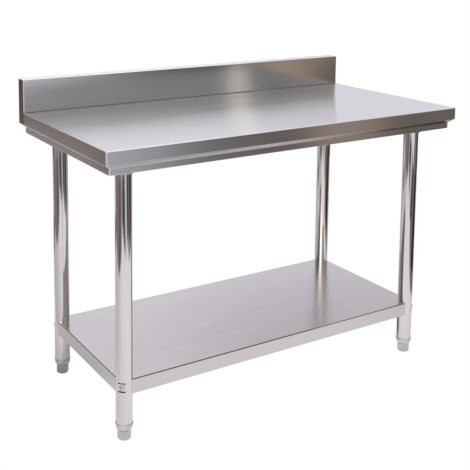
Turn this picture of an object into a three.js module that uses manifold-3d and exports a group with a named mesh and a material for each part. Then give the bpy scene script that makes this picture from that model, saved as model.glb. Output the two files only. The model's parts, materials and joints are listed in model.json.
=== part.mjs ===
// Stainless work table with an upstand along its rear edge, a bolted undershelf and four screw feet.
// Millimetres. Origin on the floor at the centre of the worktop's footprint:
// +X right, -Y front, +Z up.
import * as THREE from 'three';
import { mergeVertices } from 'three/addons/utils/BufferGeometryUtils.js';
import Module from 'manifold-3d';

const wasm = await Module();
wasm.setup();

// ---------------------------------------------------------------- shared dimensions
const TOP_LENGTH = 1200;
const TOP_DEPTH = 600;
const TOP_HEIGHT = 805;       // worktop surface above the floor, feet screwed home

const LEG_X = 507;            // leg centres
const LEG_Y = 208;
const LEG_R = 22.5;
const LEG_WALL = 1.5;
const LEG_BORE_R = LEG_R - LEG_WALL;
const LEG_LOW = 46;
const LEG_SLIP = 0.4;         // radial clearance of sockets and collars round the leg

const BOLT_Z = 150;           // shelf bolt height
const BOLT_R = 3;
const BOLT_HOLE_R = BOLT_R + 0.3;
const SEAT_OUT = 20;          // outer face of the flat bolt seat, from the leg axis

const GAP = 0.2;              // left between neighbouring pieces
const OVERCUT = 1;            // how far a cutter runs past the surface it opens

const ROUND_SIDES = 32;       // legs, sockets and collars
const FOOT_SIDES = 24;
const SMALL_SIDES = 16;       // bolts, screws and their holes
const HEX_SIDES = 6;
const CORNER_STEPS = 3;       // segments in a bent edge

// pieces at a leg are drawn for the front-left corner and turned about the leg axis;
// each foot stands at its own angle, as left by the fitter's spanner
const corner = (name, x, y, leg, footDegrees) => (
  { name, x, y, turns: { none: 0, leg, foot: THREE.MathUtils.degToRad(footDegrees) } });
const CORNERS = [
  corner('front_left', -LEG_X, -LEG_Y, 0, 33),
  corner('front_right', LEG_X, -LEG_Y, Math.PI / 2, 8),
  corner('rear_right', LEG_X, LEG_Y, Math.PI, 20),
  corner('rear_left', -LEG_X, LEG_Y, -Math.PI / 2, 47),
];

// ---------------------------------------------------------------- materials
const finish = ({ color, roughness, metalness = 1 }) => (
  new THREE.MeshStandardMaterial({ color, roughness, metalness }));

const MATERIALS = {
  worktop: finish({ color: '#c9c9ce', roughness: 0.32 }),
  endCap: finish({ color: '#8a8a8c', roughness: 0.34 }),
  board: finish({ color: '#a58a66', roughness: 0.8, metalness: 0 }),
  channel: finish({ color: '#9fa0a3', roughness: 0.45 }),
  shelf: finish({ color: '#bdbabd', roughness: 0.36 }),
  socket: finish({ color: '#8e9093', roughness: 0.5 }),
  setScrew: finish({ color: '#4b4c4e', roughness: 0.5 }),
  leg: finish({ color: '#d8d4d4', roughness: 0.14 }),
  collar: finish({ color: '#a2a2a4', roughness: 0.4 }),
  bolt: finish({ color: '#cfcccb', roughness: 0.25 }),
  nut: finish({ color: '#a8a8a8', roughness: 0.4 }),
  insert: finish({ color: '#a9a8ab', roughness: 0.38 }),
  foot: finish({ color: '#a5a5a9', roughness: 0.4 }),
  stem: finish({ color: '#b4b4b6', roughness: 0.35 }),
  pad: finish({ color: '#2a2a2b', roughness: 0.7, metalness: 0 }),
};

// ---------------------------------------------------------------- solids and meshes
// welds a closed geometry, drops collapsed triangles and makes the rest face outwards
function toManifold(geometry) {
  geometry.deleteAttribute('normal');
  geometry.deleteAttribute('uv');
  const welded = mergeVertices(geometry, 1e-5);
  const positions = welded.attributes.position.array;
  const index = welded.index.array;
  const vertex = (i) => new THREE.Vector3().fromArray(positions, i * 3);
  const triangles = [];
  let volume = 0;
  for (let i = 0; i < index.length; i += 3) {
    const [a, b, c] = index.slice(i, i + 3);
    if (a === b || b === c || a === c) continue;
    triangles.push([a, b, c]);
    volume += vertex(a).dot(vertex(b).cross(vertex(c)));
  }
  const facing = volume < 0 ? triangles.map(([a, b, c]) => [a, c, b]) : triangles;
  return new wasm.Manifold(new wasm.Mesh({
    numProp: 3,
    vertProperties: new Float32Array(positions),
    triVerts: new Uint32Array(facing.flat()),
  }));
}

// flat-shaded geometry of a solid
function toGeometry(solid) {
  const mesh = solid.getMesh();
  const geometry = new THREE.BufferGeometry();
  geometry.setAttribute('position', new THREE.BufferAttribute(mesh.vertProperties, 3));
  geometry.setIndex(new THREE.BufferAttribute(mesh.triVerts, 1));
  const flat = geometry.toNonIndexed();
  flat.computeVertexNormals();
  return flat;
}

const basis = (x, y, z) => new THREE.Matrix4().makeBasis(
  new THREE.Vector3(...x), new THREE.Vector3(...y), new THREE.Vector3(...z));

function extrude(profile, depth) {
  const shape = new THREE.Shape(profile.map(([a, b]) => new THREE.Vector2(a, b)));
  return new THREE.ExtrudeGeometry(shape, { depth, bevelEnabled: false });
}

// spans are [low, high] pairs
const both = (half) => [-half, half];

// profile of [y, z] points run along X
function alongX(profile, [x0, x1]) {
  const geometry = extrude(profile, x1 - x0);
  geometry.applyMatrix4(basis([0, 1, 0], [0, 0, 1], [1, 0, 0]));
  geometry.translate(x0, 0, 0);
  return toManifold(geometry);
}

// profile of [x, z] points run along Y
function alongY(profile, [y0, y1]) {
  const geometry = extrude(profile, y1 - y0);
  geometry.applyMatrix4(basis([1, 0, 0], [0, 0, 1], [0, -1, 0]));
  geometry.translate(0, y1, 0);
  return toManifold(geometry);
}

// rectangular body with the same edge section on all four sides; section takes a half width
function fourSided(section, halfX, halfY, overrun = 0) {
  return alongX(section(halfY), both(halfX + overrun))
    .intersect(alongY(section(halfX), both(halfY + overrun)));
}

function box([x0, x1], [y0, y1], [z0, z1]) {
  const geometry = new THREE.BoxGeometry(x1 - x0, y1 - y0, z1 - z0);
  geometry.translate((x0 + x1) / 2, (y0 + y1) / 2, (z0 + z1) / 2);
  return toManifold(geometry);
}

// upright, on the Z axis
function cylinder(radius, [z0, z1], sides) {
  const geometry = new THREE.CylinderGeometry(radius, radius, z1 - z0, sides);
  geometry.rotateX(Math.PI / 2);
  geometry.translate(0, 0, (z0 + z1) / 2);
  return toManifold(geometry);
}

// profile of [radius, z] points, first and last on the axis
function lathe(profile, sides) {
  const points = profile.map(([radius, z]) => new THREE.Vector2(radius, z));
  const geometry = new THREE.LatheGeometry(points, sides);
  geometry.rotateX(Math.PI / 2);
  return toManifold(geometry);
}

// lays a solid on the front-left leg's diagonal at height z:
// its +Z points outwards, its +Y up and its X runs level across the diagonal
function diagonal(solid, z) {
  const d = Math.SQRT1_2;
  return solid.transform(basis([d, -d, 0], [0, 0, 1], [-d, -d, 0]).setPosition(0, 0, z).elements);
}

function quarterArc(cx, cz, radius, start) {
  return Array.from({ length: CORNER_STEPS + 1 }, (_, i) => {
    const angle = start + ((Math.PI / 2) * i) / CORNER_STEPS;
    return [cx + radius * Math.cos(angle), cz + radius * Math.sin(angle)];
  });
}

// upper corner on the positive side of a section, sharp where the radius is zero
const topCorner = (side, top, radius) => (
  radius > 0 ? quarterArc(side - radius, top - radius, radius, 0) : [[side, top]]);

// closes the positive half of a section with its mirror image
const mirrored = (points) => [...points, ...points.map(([x, z]) => [-x, z]).reverse()];

const group = new THREE.Group();
group.name = 'stainless_work_table';

function add(name, geometry, material, { x = 0, y = 0, turn = 0 } = {}) {
  const mesh = new THREE.Mesh(geometry, material);
  mesh.name = name;
  mesh.position.set(x, y, 0);
  mesh.rotation.z = turn;
  group.add(mesh);
}
const addSolid = (name, solid, material) => add(name, toGeometry(solid), material);

// ---------------------------------------------------------------- worktop sheet
const SHEET = 1.2;
const FASCIA_HEIGHT = 35;     // vertical face of the worktop edge
const BEVEL_IN = 15;          // the edge then turns in ...
const BEVEL_DOWN = 12;        // ... while it drops
const RAIL_HEIGHT = 18;       // set-back rail below the bevel
const RAIL_RETURN = 10;       // inward hem along the rail's lower edge, from its outer face
const EDGE_RADIUS = 2;        // bend radius along the top edges
const SPLASH_HEIGHT = 100;    // upstand above the worktop
const SPLASH_DEPTH = 40;      // boxed upstand, front to back
const SPLASH_OVERLAP = 3;     // upstand body carried down into the worktop
const HOLLOW_RISE = 2;        // floor of the upstand's hollow above the fascia's lower edge

const TOP_X = TOP_LENGTH / 2;
const TOP_Y = TOP_DEPTH / 2;
const FASCIA_LOW = TOP_HEIGHT - FASCIA_HEIGHT;
const RAIL_LOW = FASCIA_LOW - BEVEL_DOWN - RAIL_HEIGHT;
const SPLASH_FRONT = TOP_Y - SPLASH_DEPTH;
const SPLASH_TOP = TOP_HEIGHT + SPLASH_HEIGHT;
const HOLLOW_Y = [SPLASH_FRONT + SHEET, TOP_Y - SHEET];
const HOLLOW_Z = [FASCIA_LOW + HOLLOW_RISE, SPLASH_TOP - SHEET];

// section across the fascia, bevel and rail; inset moves the skin inwards
function skirtSection(half, inset, radius) {
  const slope = Math.hypot(BEVEL_IN, BEVEL_DOWN);
  const bevelX = half - (inset * BEVEL_DOWN) / slope;      // a point on the inset bevel
  const bevelZ = FASCIA_LOW + (inset * BEVEL_IN) / slope;
  const bevelAt = (x) => bevelZ + ((x - bevelX) * BEVEL_DOWN) / BEVEL_IN;
  const fascia = half - inset;
  const rail = fascia - BEVEL_IN;
  return mirrored([
    [rail, RAIL_LOW + inset], [rail, bevelAt(rail)], [fascia, bevelAt(fascia)],
    ...topCorner(fascia, TOP_HEIGHT - inset, radius),
  ]);
}

function worktopSheet() {
  const hem = BEVEL_IN + RAIL_RETURN;
  const outer = fourSided((half) => skirtSection(half, 0, EDGE_RADIUS), TOP_X, TOP_Y)
    // square edges under the upstand
    .add(box(both(TOP_X), [SPLASH_FRONT, TOP_Y], [FASCIA_LOW, TOP_HEIGHT]));
  const inner = fourSided((half) => skirtSection(half, SHEET, 0), TOP_X, TOP_Y, OVERCUT);
  const opening = box(both(TOP_X - hem), both(TOP_Y - hem),
    [RAIL_LOW - OVERCUT, RAIL_LOW + SHEET + OVERCUT]);
  const arcZ = SPLASH_TOP - EDGE_RADIUS;
  const upstand = alongX([
    [SPLASH_FRONT, TOP_HEIGHT - SPLASH_OVERLAP], [TOP_Y, TOP_HEIGHT - SPLASH_OVERLAP],
    ...quarterArc(TOP_Y - EDGE_RADIUS, arcZ, EDGE_RADIUS, 0),
    ...quarterArc(SPLASH_FRONT + EDGE_RADIUS, arcZ, EDGE_RADIUS, Math.PI / 2),
  ], both(TOP_X));
  // the hollow runs out through both ends, where the end caps close it
  const hollow = box(both(TOP_X + OVERCUT), HOLLOW_Y, HOLLOW_Z);
  return outer.add(upstand).subtract(inner).subtract(opening).subtract(hollow);
}
addSolid('worktop_sheet', worktopSheet(), MATERIALS.worktop);

// ---------------------------------------------------------------- upstand end caps
const CAP_GAP = 0.15;         // round the cap, inside the hollow
const RELIEF = [14, 18];      // relief slot, from the cap's front edge
const RELIEF_HEIGHT = 5;

function endCap([x0, x1]) {
  const [y0, y1] = [HOLLOW_Y[0] + CAP_GAP, HOLLOW_Y[1] - CAP_GAP];
  const [z0, z1] = [HOLLOW_Z[0] + CAP_GAP, HOLLOW_Z[1] - CAP_GAP];
  // the relief slot at the foot of the cap keeps clear of the weld
  const relief = box([x0 - OVERCUT, x1 + OVERCUT], RELIEF.map((y) => y0 + y),
    [z0 - OVERCUT, z0 + RELIEF_HEIGHT]);
  return box([x0, x1], [y0, y1], [z0, z1]).subtract(relief);
}
addSolid('splashback_end_cap_left', endCap([-TOP_X, -TOP_X + SHEET]), MATERIALS.endCap);
addSolid('splashback_end_cap_right', endCap([TOP_X - SHEET, TOP_X]), MATERIALS.endCap);

// ---------------------------------------------------------------- board under the worktop
const BOARD = 15;             // sound-deadening board bonded under the sheet
const BOARD_MARGIN = 2;       // between the board's edges and the sheet or upstand
const BOARD_TOP = TOP_HEIGHT - SHEET - GAP;
const BOARD_LOW = BOARD_TOP - BOARD;

function coreBoard() {
  const inset = SHEET + BOARD_MARGIN;
  return box(both(TOP_X - inset), [-TOP_Y + inset, SPLASH_FRONT - BOARD_MARGIN],
    [BOARD_LOW, BOARD_TOP]);
}
addSolid('worktop_core_board', coreBoard(), MATERIALS.board);

// ---------------------------------------------------------------- channels under the board
const CHANNEL_HALF = 30;      // half width
const CHANNEL_HEIGHT = 26;
const CHANNEL_WALL = 1.5;
const LONG_CHANNEL_HALF = 560;
const CHANNEL_TOP = BOARD_LOW - GAP;
const CHANNEL_LOW = CHANNEL_TOP - CHANNEL_HEIGHT;

const shifted = (section, centre) => section.map(([across, z]) => [centre + across, z]);

// open upwards
const CHANNEL_SECTION = mirrored([
  [CHANNEL_HALF, CHANNEL_LOW],
  [CHANNEL_HALF, CHANNEL_TOP],
  [CHANNEL_HALF - CHANNEL_WALL, CHANNEL_TOP],
  [CHANNEL_HALF - CHANNEL_WALL, CHANNEL_LOW + CHANNEL_WALL],
]);

for (const [name, y] of [['front', -LEG_Y], ['rear', LEG_Y]]) {
  const solid = alongX(shifted(CHANNEL_SECTION, y), both(LONG_CHANNEL_HALF));
  addSolid(`top_channel_${name}`, solid, MATERIALS.channel);
}
for (const [name, x] of [['left', -LEG_X], ['centre', 0], ['right', LEG_X]]) {
  const solid = alongY(shifted(CHANNEL_SECTION, x), both(LEG_Y - CHANNEL_HALF - GAP));
  addSolid(`top_cross_channel_${name}`, solid, MATERIALS.channel);
}

// ---------------------------------------------------------------- undershelf
const SHELF_Z = 168;          // shelf surface
const SHELF_SHEET = 1;
const SHELF_FACE = 41;        // height of the turned-down shelf edge
const SHELF_RETURN = 12;
const SHELF_RADIUS = 1.5;     // bend radius along the top edges
const LEG_INSET = 17.5;       // leg centre inside both shelf faces
const NOTCH_CLEARANCE = 0.3;
const NOTCH_HALF = 20;        // half side of the square cut away beyond the leg centre

const SHELF_X = LEG_X + LEG_INSET;
const SHELF_Y = LEG_Y + LEG_INSET;
const SHELF_LOW = SHELF_Z - SHELF_FACE;
const SHELF_UNDERSIDE = SHELF_Z - SHELF_SHEET;

function undershelf() {
  const section = (half) => mirrored([[half, SHELF_LOW], ...topCorner(half, SHELF_Z, SHELF_RADIUS)]);
  const inset = (amount, zSpan) => box(both(SHELF_X - amount), both(SHELF_Y - amount), zSpan);
  const folded = fourSided(section, SHELF_X, SHELF_Y)
    .subtract(inset(SHELF_SHEET, [SHELF_LOW + SHELF_SHEET, SHELF_UNDERSIDE]))
    .subtract(inset(SHELF_RETURN, [SHELF_LOW - OVERCUT, SHELF_LOW + SHELF_SHEET + OVERCUT]));

  const notchZ = [SHELF_LOW - OVERCUT, SHELF_Z + OVERCUT];
  const legHole = cylinder(LEG_R + NOTCH_CLEARANCE, notchZ, ROUND_SIDES);
  const cornerCut = box(both(NOTCH_HALF), both(NOTCH_HALF), notchZ);
  return CORNERS.reduce((shelf, { x, y }) => shelf
    .subtract(legHole.translate([x, y, 0]))
    .subtract(cornerCut.translate([
      x + Math.sign(x) * NOTCH_HALF, y + Math.sign(y) * NOTCH_HALF, 0])), folded);
}
addSolid('undershelf_sheet', undershelf(), MATERIALS.shelf);

// two hat sections spot-welded under the shelf
const HAT_Y = 95;
const HAT_LENGTH_HALF = 468;
const HAT_HEIGHT = 22;
const HAT_HALF = 20;          // half width of the trough
const HAT_LIP = 14;
const HAT_WALL = 1.2;
const HAT_TOP = SHELF_UNDERSIDE - GAP;
const HAT_LOW = HAT_TOP - HAT_HEIGHT;

const HAT_SECTION = mirrored([
  [HAT_HALF, HAT_LOW],
  [HAT_HALF, HAT_TOP - HAT_WALL],
  [HAT_HALF + HAT_LIP, HAT_TOP - HAT_WALL],
  [HAT_HALF + HAT_LIP, HAT_TOP],
  [HAT_HALF - HAT_WALL, HAT_TOP],
  [HAT_HALF - HAT_WALL, HAT_LOW + HAT_WALL],
]);
for (const [name, y] of [['front', -HAT_Y], ['rear', HAT_Y]]) {
  const solid = alongX(shifted(HAT_SECTION, y), both(HAT_LENGTH_HALF));
  addSolid(`undershelf_channel_${name}`, solid, MATERIALS.channel);
}

// ---------------------------------------------------------------- leg sockets and set screws
const SOCKET_R = 27;
const SOCKET_DEPTH = 36;
const PLATE_HALF = 42;        // half side of the square plate
const PLATE_THICKNESS = 4;
const SET_SCREW_R = 4;
const SET_SCREW_RISE = 15;    // above the socket's lower end
const SET_SCREW_PROUD = 3;    // beyond the socket wall
const SET_SCREW_TIP_GAP = 0.15;
const KEY_R = 2.3;            // hexagonal recess in the screw, across its corners
const KEY_PAST_WALL = 1.5;    // the recess ends this far inside the socket's outer surface

const PLATE_TOP = CHANNEL_LOW - GAP;
const PLATE_LOW = PLATE_TOP - PLATE_THICKNESS;
const SOCKET_LOW = PLATE_LOW - SOCKET_DEPTH;
const SET_SCREW_Z = SOCKET_LOW + SET_SCREW_RISE;

function legSocket() {
  const screwHole = cylinder(SET_SCREW_R + 0.1, [-SOCKET_R - OVERCUT, 0], SMALL_SIDES);
  return box(both(PLATE_HALF), both(PLATE_HALF), [PLATE_LOW, PLATE_TOP])
    .add(cylinder(SOCKET_R, [SOCKET_LOW, PLATE_LOW + 1], ROUND_SIDES))
    .subtract(cylinder(LEG_R + LEG_SLIP, [SOCKET_LOW - OVERCUT, PLATE_LOW], ROUND_SIDES))
    .subtract(diagonal(screwHole, SET_SCREW_Z));
}

// on the side of the leg facing the table's middle
function setScrew() {
  const end = -SOCKET_R - SET_SCREW_PROUD;
  const body = cylinder(SET_SCREW_R, [end, -LEG_R - SET_SCREW_TIP_GAP], SMALL_SIDES);
  const key = cylinder(KEY_R, [end - OVERCUT, -SOCKET_R + KEY_PAST_WALL], HEX_SIDES);
  return diagonal(body.subtract(key), SET_SCREW_Z);
}

// ---------------------------------------------------------------- leg tube
const LEG_TOP = PLATE_LOW - 0.4;
const SEAT_HALF = 10;         // half height of the pressed-flat bolt seat between its slits
const SEAT_HALF_WIDTH = 13;
const SLIT = 2.5;             // slit height
const SLIT_HALF_WIDTH = 11;
const WINDOW_OUT = [17, 30];  // reach of the window cut, from the leg axis

function legTube() {
  // window over the seat and both slits, then the flattened band between them
  const window = box(both(SLIT_HALF_WIDTH), both(SEAT_HALF + SLIT), WINDOW_OUT);
  const seat = box(both(SEAT_HALF_WIDTH), both(SEAT_HALF), [SEAT_OUT - LEG_WALL, SEAT_OUT]);
  const seatLimit = cylinder(LEG_R - 0.1,
    [BOLT_Z - SEAT_HALF - OVERCUT, BOLT_Z + SEAT_HALF + OVERCUT], ROUND_SIDES);
  const boltHole = cylinder(BOLT_HOLE_R, both(LEG_R + OVERCUT), SMALL_SIDES);
  return cylinder(LEG_R, [LEG_LOW, LEG_TOP], ROUND_SIDES)
    .subtract(cylinder(LEG_BORE_R, [LEG_LOW - OVERCUT, LEG_TOP + OVERCUT], ROUND_SIDES))
    .subtract(diagonal(window, BOLT_Z))
    .add(diagonal(seat, BOLT_Z).intersect(seatLimit))
    .subtract(diagonal(boltHole, BOLT_Z));
}

// ---------------------------------------------------------------- shelf collar, bolt and nut
const COLLAR_IN = LEG_R + LEG_SLIP;
const COLLAR_OUT = COLLAR_IN + 2.2;
const COLLAR_LOW = SHELF_LOW + SHELF_SHEET + 1.5;
const COLLAR_TOP = SHELF_UNDERSIDE - GAP;
const COLLAR_CUT = 8;         // the collar's outer corner is open beyond this, in x and y
const COLLAR_REACH = 60;      // past every part of the collar
const NUT_PAD_FACE = 29;      // flat pad under the nut, from the leg axis
const NUT_PAD_HALF_WIDTH = 9;
const NUT_PAD_HALF_HEIGHT = 10;

function shelfCollar() {
  const nutPad = box(both(NUT_PAD_HALF_WIDTH), both(NUT_PAD_HALF_HEIGHT),
    [-NUT_PAD_FACE, -COLLAR_IN]);
  const boltHole = cylinder(BOLT_HOLE_R, [-NUT_PAD_FACE - OVERCUT, 0], SMALL_SIDES);
  const cutZ = [COLLAR_LOW - OVERCUT, COLLAR_TOP + OVERCUT];
  // the collar stays inside the turned-down shelf faces
  const insideShelf = [-(LEG_INSET - SHELF_SHEET - GAP), COLLAR_REACH];
  const outerCorner = [-COLLAR_REACH, -COLLAR_CUT];
  return cylinder(COLLAR_OUT, [COLLAR_LOW, COLLAR_TOP], ROUND_SIDES)
    .add(diagonal(nutPad, BOLT_Z))
    .subtract(cylinder(COLLAR_IN, cutZ, ROUND_SIDES))
    .subtract(diagonal(boltHole, BOLT_Z))
    .intersect(box(insideShelf, insideShelf, cutZ))
    .subtract(box(outerCorner, outerCorner, cutZ));
}

const BOLT_HEAD_R = 7;
const HEAD_BASE = SEAT_OUT + 0.1;
const HEAD_TOP = HEAD_BASE + 5.2;
const BOLT_END = -NUT_PAD_FACE - 8;
const CROSS_DEPTH = 2.2;      // cross slot in the bolt head
const CROSS_HALF_LENGTH = 3.2;
const CROSS_HALF_WIDTH = 0.7;

function shelfBolt() {
  const slotZ = [HEAD_TOP - CROSS_DEPTH, HEAD_TOP + OVERCUT];
  const body = lathe([
    [0, BOLT_END],
    [BOLT_R - 0.6, BOLT_END],
    [BOLT_R, BOLT_END + 0.8],
    [BOLT_R, HEAD_BASE],
    [BOLT_HEAD_R, HEAD_BASE],
    [BOLT_HEAD_R, HEAD_BASE + 2.4],
    [BOLT_HEAD_R - 1.2, HEAD_BASE + 4.2],
    [BOLT_HEAD_R - 3.2, HEAD_TOP],
    [0, HEAD_TOP],
  ], SMALL_SIDES)
    .subtract(box(both(CROSS_HALF_LENGTH), both(CROSS_HALF_WIDTH), slotZ))
    .subtract(box(both(CROSS_HALF_WIDTH), both(CROSS_HALF_LENGTH), slotZ));
  return diagonal(body, BOLT_Z);
}

const NUT_CORNER_R = 5.77;
const NUT_THICKNESS = 5.1;
const NUT_BORE_SIDES = 20;

function shelfNut() {
  const outer = -NUT_PAD_FACE - GAP;
  const inner = outer - NUT_THICKNESS;
  const bore = cylinder(BOLT_R + 0.1, [inner - OVERCUT, outer + OVERCUT], NUT_BORE_SIDES);
  return diagonal(cylinder(NUT_CORNER_R, [inner, outer], HEX_SIDES).subtract(bore), BOLT_Z);
}

// ---------------------------------------------------------------- screw feet
const THREAD_R = 6;           // M12 foot stem
const INSERT_LOW = 27;
const INSERT_TOP = 76;
const INSERT_R = LEG_BORE_R - 0.3;
const INSERT_COLLAR_R = 24.2;
const FOOT_LOW = 0.6;
const FOOT_TOP = 26.6;
const FOOT_CORNER_R = 18.5;   // hexagon, 32 across flats
const FOOT_TURNED_R = 18.7;   // turned envelope that chamfers the hexagon's ends
const STEM_LOW = 10.3;
const STEM_TOP = 72;
const PAD_R = 13.1;
const PEG_R = 3;              // peg on top of the floor pad
const PAD_RECESS_TOP = 2.8;
const PEG_HOLE_TOP = 9;

// plug in the leg's lower end
function footInsert() {
  const boreZ = [INSERT_LOW - OVERCUT, INSERT_TOP + OVERCUT];
  return lathe([
    [0, INSERT_LOW],
    [17.6, INSERT_LOW],
    [22.4, 33.6],
    [23.2, 43],
    [INSERT_COLLAR_R, 43.4],
    [INSERT_COLLAR_R, LEG_LOW - GAP],
    [INSERT_R, LEG_LOW - GAP],
    [INSERT_R, INSERT_TOP - 2],
    [INSERT_R - 1.2, INSERT_TOP],
    [0, INSERT_TOP],
  ], FOOT_SIDES).subtract(cylinder(THREAD_R + 0.1, boreZ, FOOT_SIDES));
}

function hexFoot() {
  const envelope = lathe([
    [0, FOOT_LOW],
    [15.6, FOOT_LOW],
    [FOOT_TURNED_R, 3.2],
    [FOOT_TURNED_R, FOOT_TOP - 2],
    [15.8, FOOT_TOP],
    [0, FOOT_TOP],
  ], FOOT_SIDES);
  const below = FOOT_LOW - OVERCUT;
  return cylinder(FOOT_CORNER_R, [FOOT_LOW, FOOT_TOP], HEX_SIDES)
    .intersect(envelope)
    .subtract(cylinder(PAD_R + GAP, [below, PAD_RECESS_TOP], FOOT_SIDES))
    .subtract(cylinder(PEG_R + GAP, [below, PEG_HOLE_TOP], SMALL_SIDES))
    .subtract(cylinder(THREAD_R + 0.06, [STEM_LOW - 0.3, FOOT_TOP + OVERCUT], FOOT_SIDES));
}

const footStem = () => lathe([
  [0, STEM_LOW],
  [THREAD_R, STEM_LOW],
  [THREAD_R, STEM_TOP - 1],
  [THREAD_R - 1, STEM_TOP],
  [0, STEM_TOP],
], FOOT_SIDES);

const footPad = () => lathe([
  [0, 0], [12.3, 0], [PAD_R, 0.8], [PAD_R, 2.5],
  [PEG_R, 2.5], [PEG_R, 8], [PEG_R - 0.6, 8.6], [0, 8.6],
], FOOT_SIDES);

// ---------------------------------------------------------------- pieces at every leg
// name, geometry, material, which of the corner's turns it takes
const CORNER_PIECES = [
  ['leg_socket', toGeometry(legSocket()), MATERIALS.socket, 'leg'],
  ['leg_socket_set_screw', toGeometry(setScrew()), MATERIALS.setScrew, 'leg'],
  ['leg_tube', toGeometry(legTube()), MATERIALS.leg, 'leg'],
  ['shelf_corner_collar', toGeometry(shelfCollar()), MATERIALS.collar, 'leg'],
  ['shelf_bolt', toGeometry(shelfBolt()), MATERIALS.bolt, 'leg'],
  ['shelf_bolt_nut', toGeometry(shelfNut()), MATERIALS.nut, 'leg'],
  ['foot_insert', toGeometry(footInsert()), MATERIALS.insert, 'none'],
  ['foot', toGeometry(hexFoot()), MATERIALS.foot, 'foot'],
  ['foot_stem', toGeometry(footStem()), MATERIALS.stem, 'foot'],
  ['foot_pad', toGeometry(footPad()), MATERIALS.pad, 'none'],
];
for (const { name, x, y, turns } of CORNERS) {
  for (const [piece, geometry, material, turn] of CORNER_PIECES) {
    add(`${piece}_${name}`, geometry, material, { x, y, turn: turns[turn] });
  }
}

export default group;
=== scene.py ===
import bpy, bmesh, json, math
from mathutils import Matrix, Vector

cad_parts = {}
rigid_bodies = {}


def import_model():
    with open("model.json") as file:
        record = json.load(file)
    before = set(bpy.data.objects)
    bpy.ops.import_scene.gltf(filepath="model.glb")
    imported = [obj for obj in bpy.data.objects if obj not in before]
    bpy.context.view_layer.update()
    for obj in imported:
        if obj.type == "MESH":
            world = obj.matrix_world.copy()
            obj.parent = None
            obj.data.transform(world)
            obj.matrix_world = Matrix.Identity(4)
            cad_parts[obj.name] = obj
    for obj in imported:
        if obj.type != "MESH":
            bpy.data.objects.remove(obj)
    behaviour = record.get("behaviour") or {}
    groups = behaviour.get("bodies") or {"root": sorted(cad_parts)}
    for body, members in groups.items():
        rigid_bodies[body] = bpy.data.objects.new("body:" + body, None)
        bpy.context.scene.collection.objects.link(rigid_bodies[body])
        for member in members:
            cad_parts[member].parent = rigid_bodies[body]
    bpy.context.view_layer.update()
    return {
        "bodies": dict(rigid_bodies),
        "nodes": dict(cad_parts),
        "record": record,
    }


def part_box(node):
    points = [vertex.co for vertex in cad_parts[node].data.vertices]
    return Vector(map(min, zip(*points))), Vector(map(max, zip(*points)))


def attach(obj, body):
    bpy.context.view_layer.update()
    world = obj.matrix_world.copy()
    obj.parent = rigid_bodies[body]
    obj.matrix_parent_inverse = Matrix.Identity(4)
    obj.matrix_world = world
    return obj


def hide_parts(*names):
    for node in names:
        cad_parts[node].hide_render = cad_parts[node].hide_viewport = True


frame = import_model()
NODES = frame["nodes"]
SCENE = bpy.context.scene
MM = 0.001

# ------------------------------------------------------------------ places, from the frame (millimetres)
def span(node):
    lo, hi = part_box(node)
    return [c * 1000 for c in lo], [c * 1000 for c in hi]


def mount(name):
    for m in frame["record"]["mounts"]:
        if m["name"] == name:
            return [c * 1000 for c in m["pos_m"]]


TOP_LO, TOP_HI = span("worktop_sheet")
HX, HY = TOP_HI[0], TOP_HI[1]
Z_SPLASH = TOP_HI[2]
Z_RAIL = TOP_LO[2]
Z_TOP = mount("worktop_surface")[2]
Z_SHELF = mount("undershelf_surface")[2]
SH_LO, SH_HI = span("undershelf_sheet")
SX, SY = SH_HI[0], SH_HI[1]
Z_SHELF_LOW = SH_LO[2]
SHEET = 1.2
Z_FASCIA = Z_TOP - 35
Z_BEVEL = Z_FASCIA - 12
BEVEL_IN = 15
SPLASH_D = 40
UP_FRONT = HY - SPLASH_D
CORNERS = []
for _c, _turn in (("front_left", 0), ("front_right", 90), ("rear_right", 180), ("rear_left", -90)):
    _lo, _hi = span("foot_pad_" + _c)
    CORNERS.append((_c, (_lo[0] + _hi[0]) / 2, (_lo[1] + _hi[1]) / 2, math.radians(_turn)))
LEG_LO, LEG_HI = span("leg_tube_front_left")
LEG_R = 22.5
LEG_WALL = 1.5
BOLT_Z = (span("shelf_bolt_front_left")[0][2] + span("shelf_bolt_front_left")[1][2]) / 2
ROOT = "table"

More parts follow.
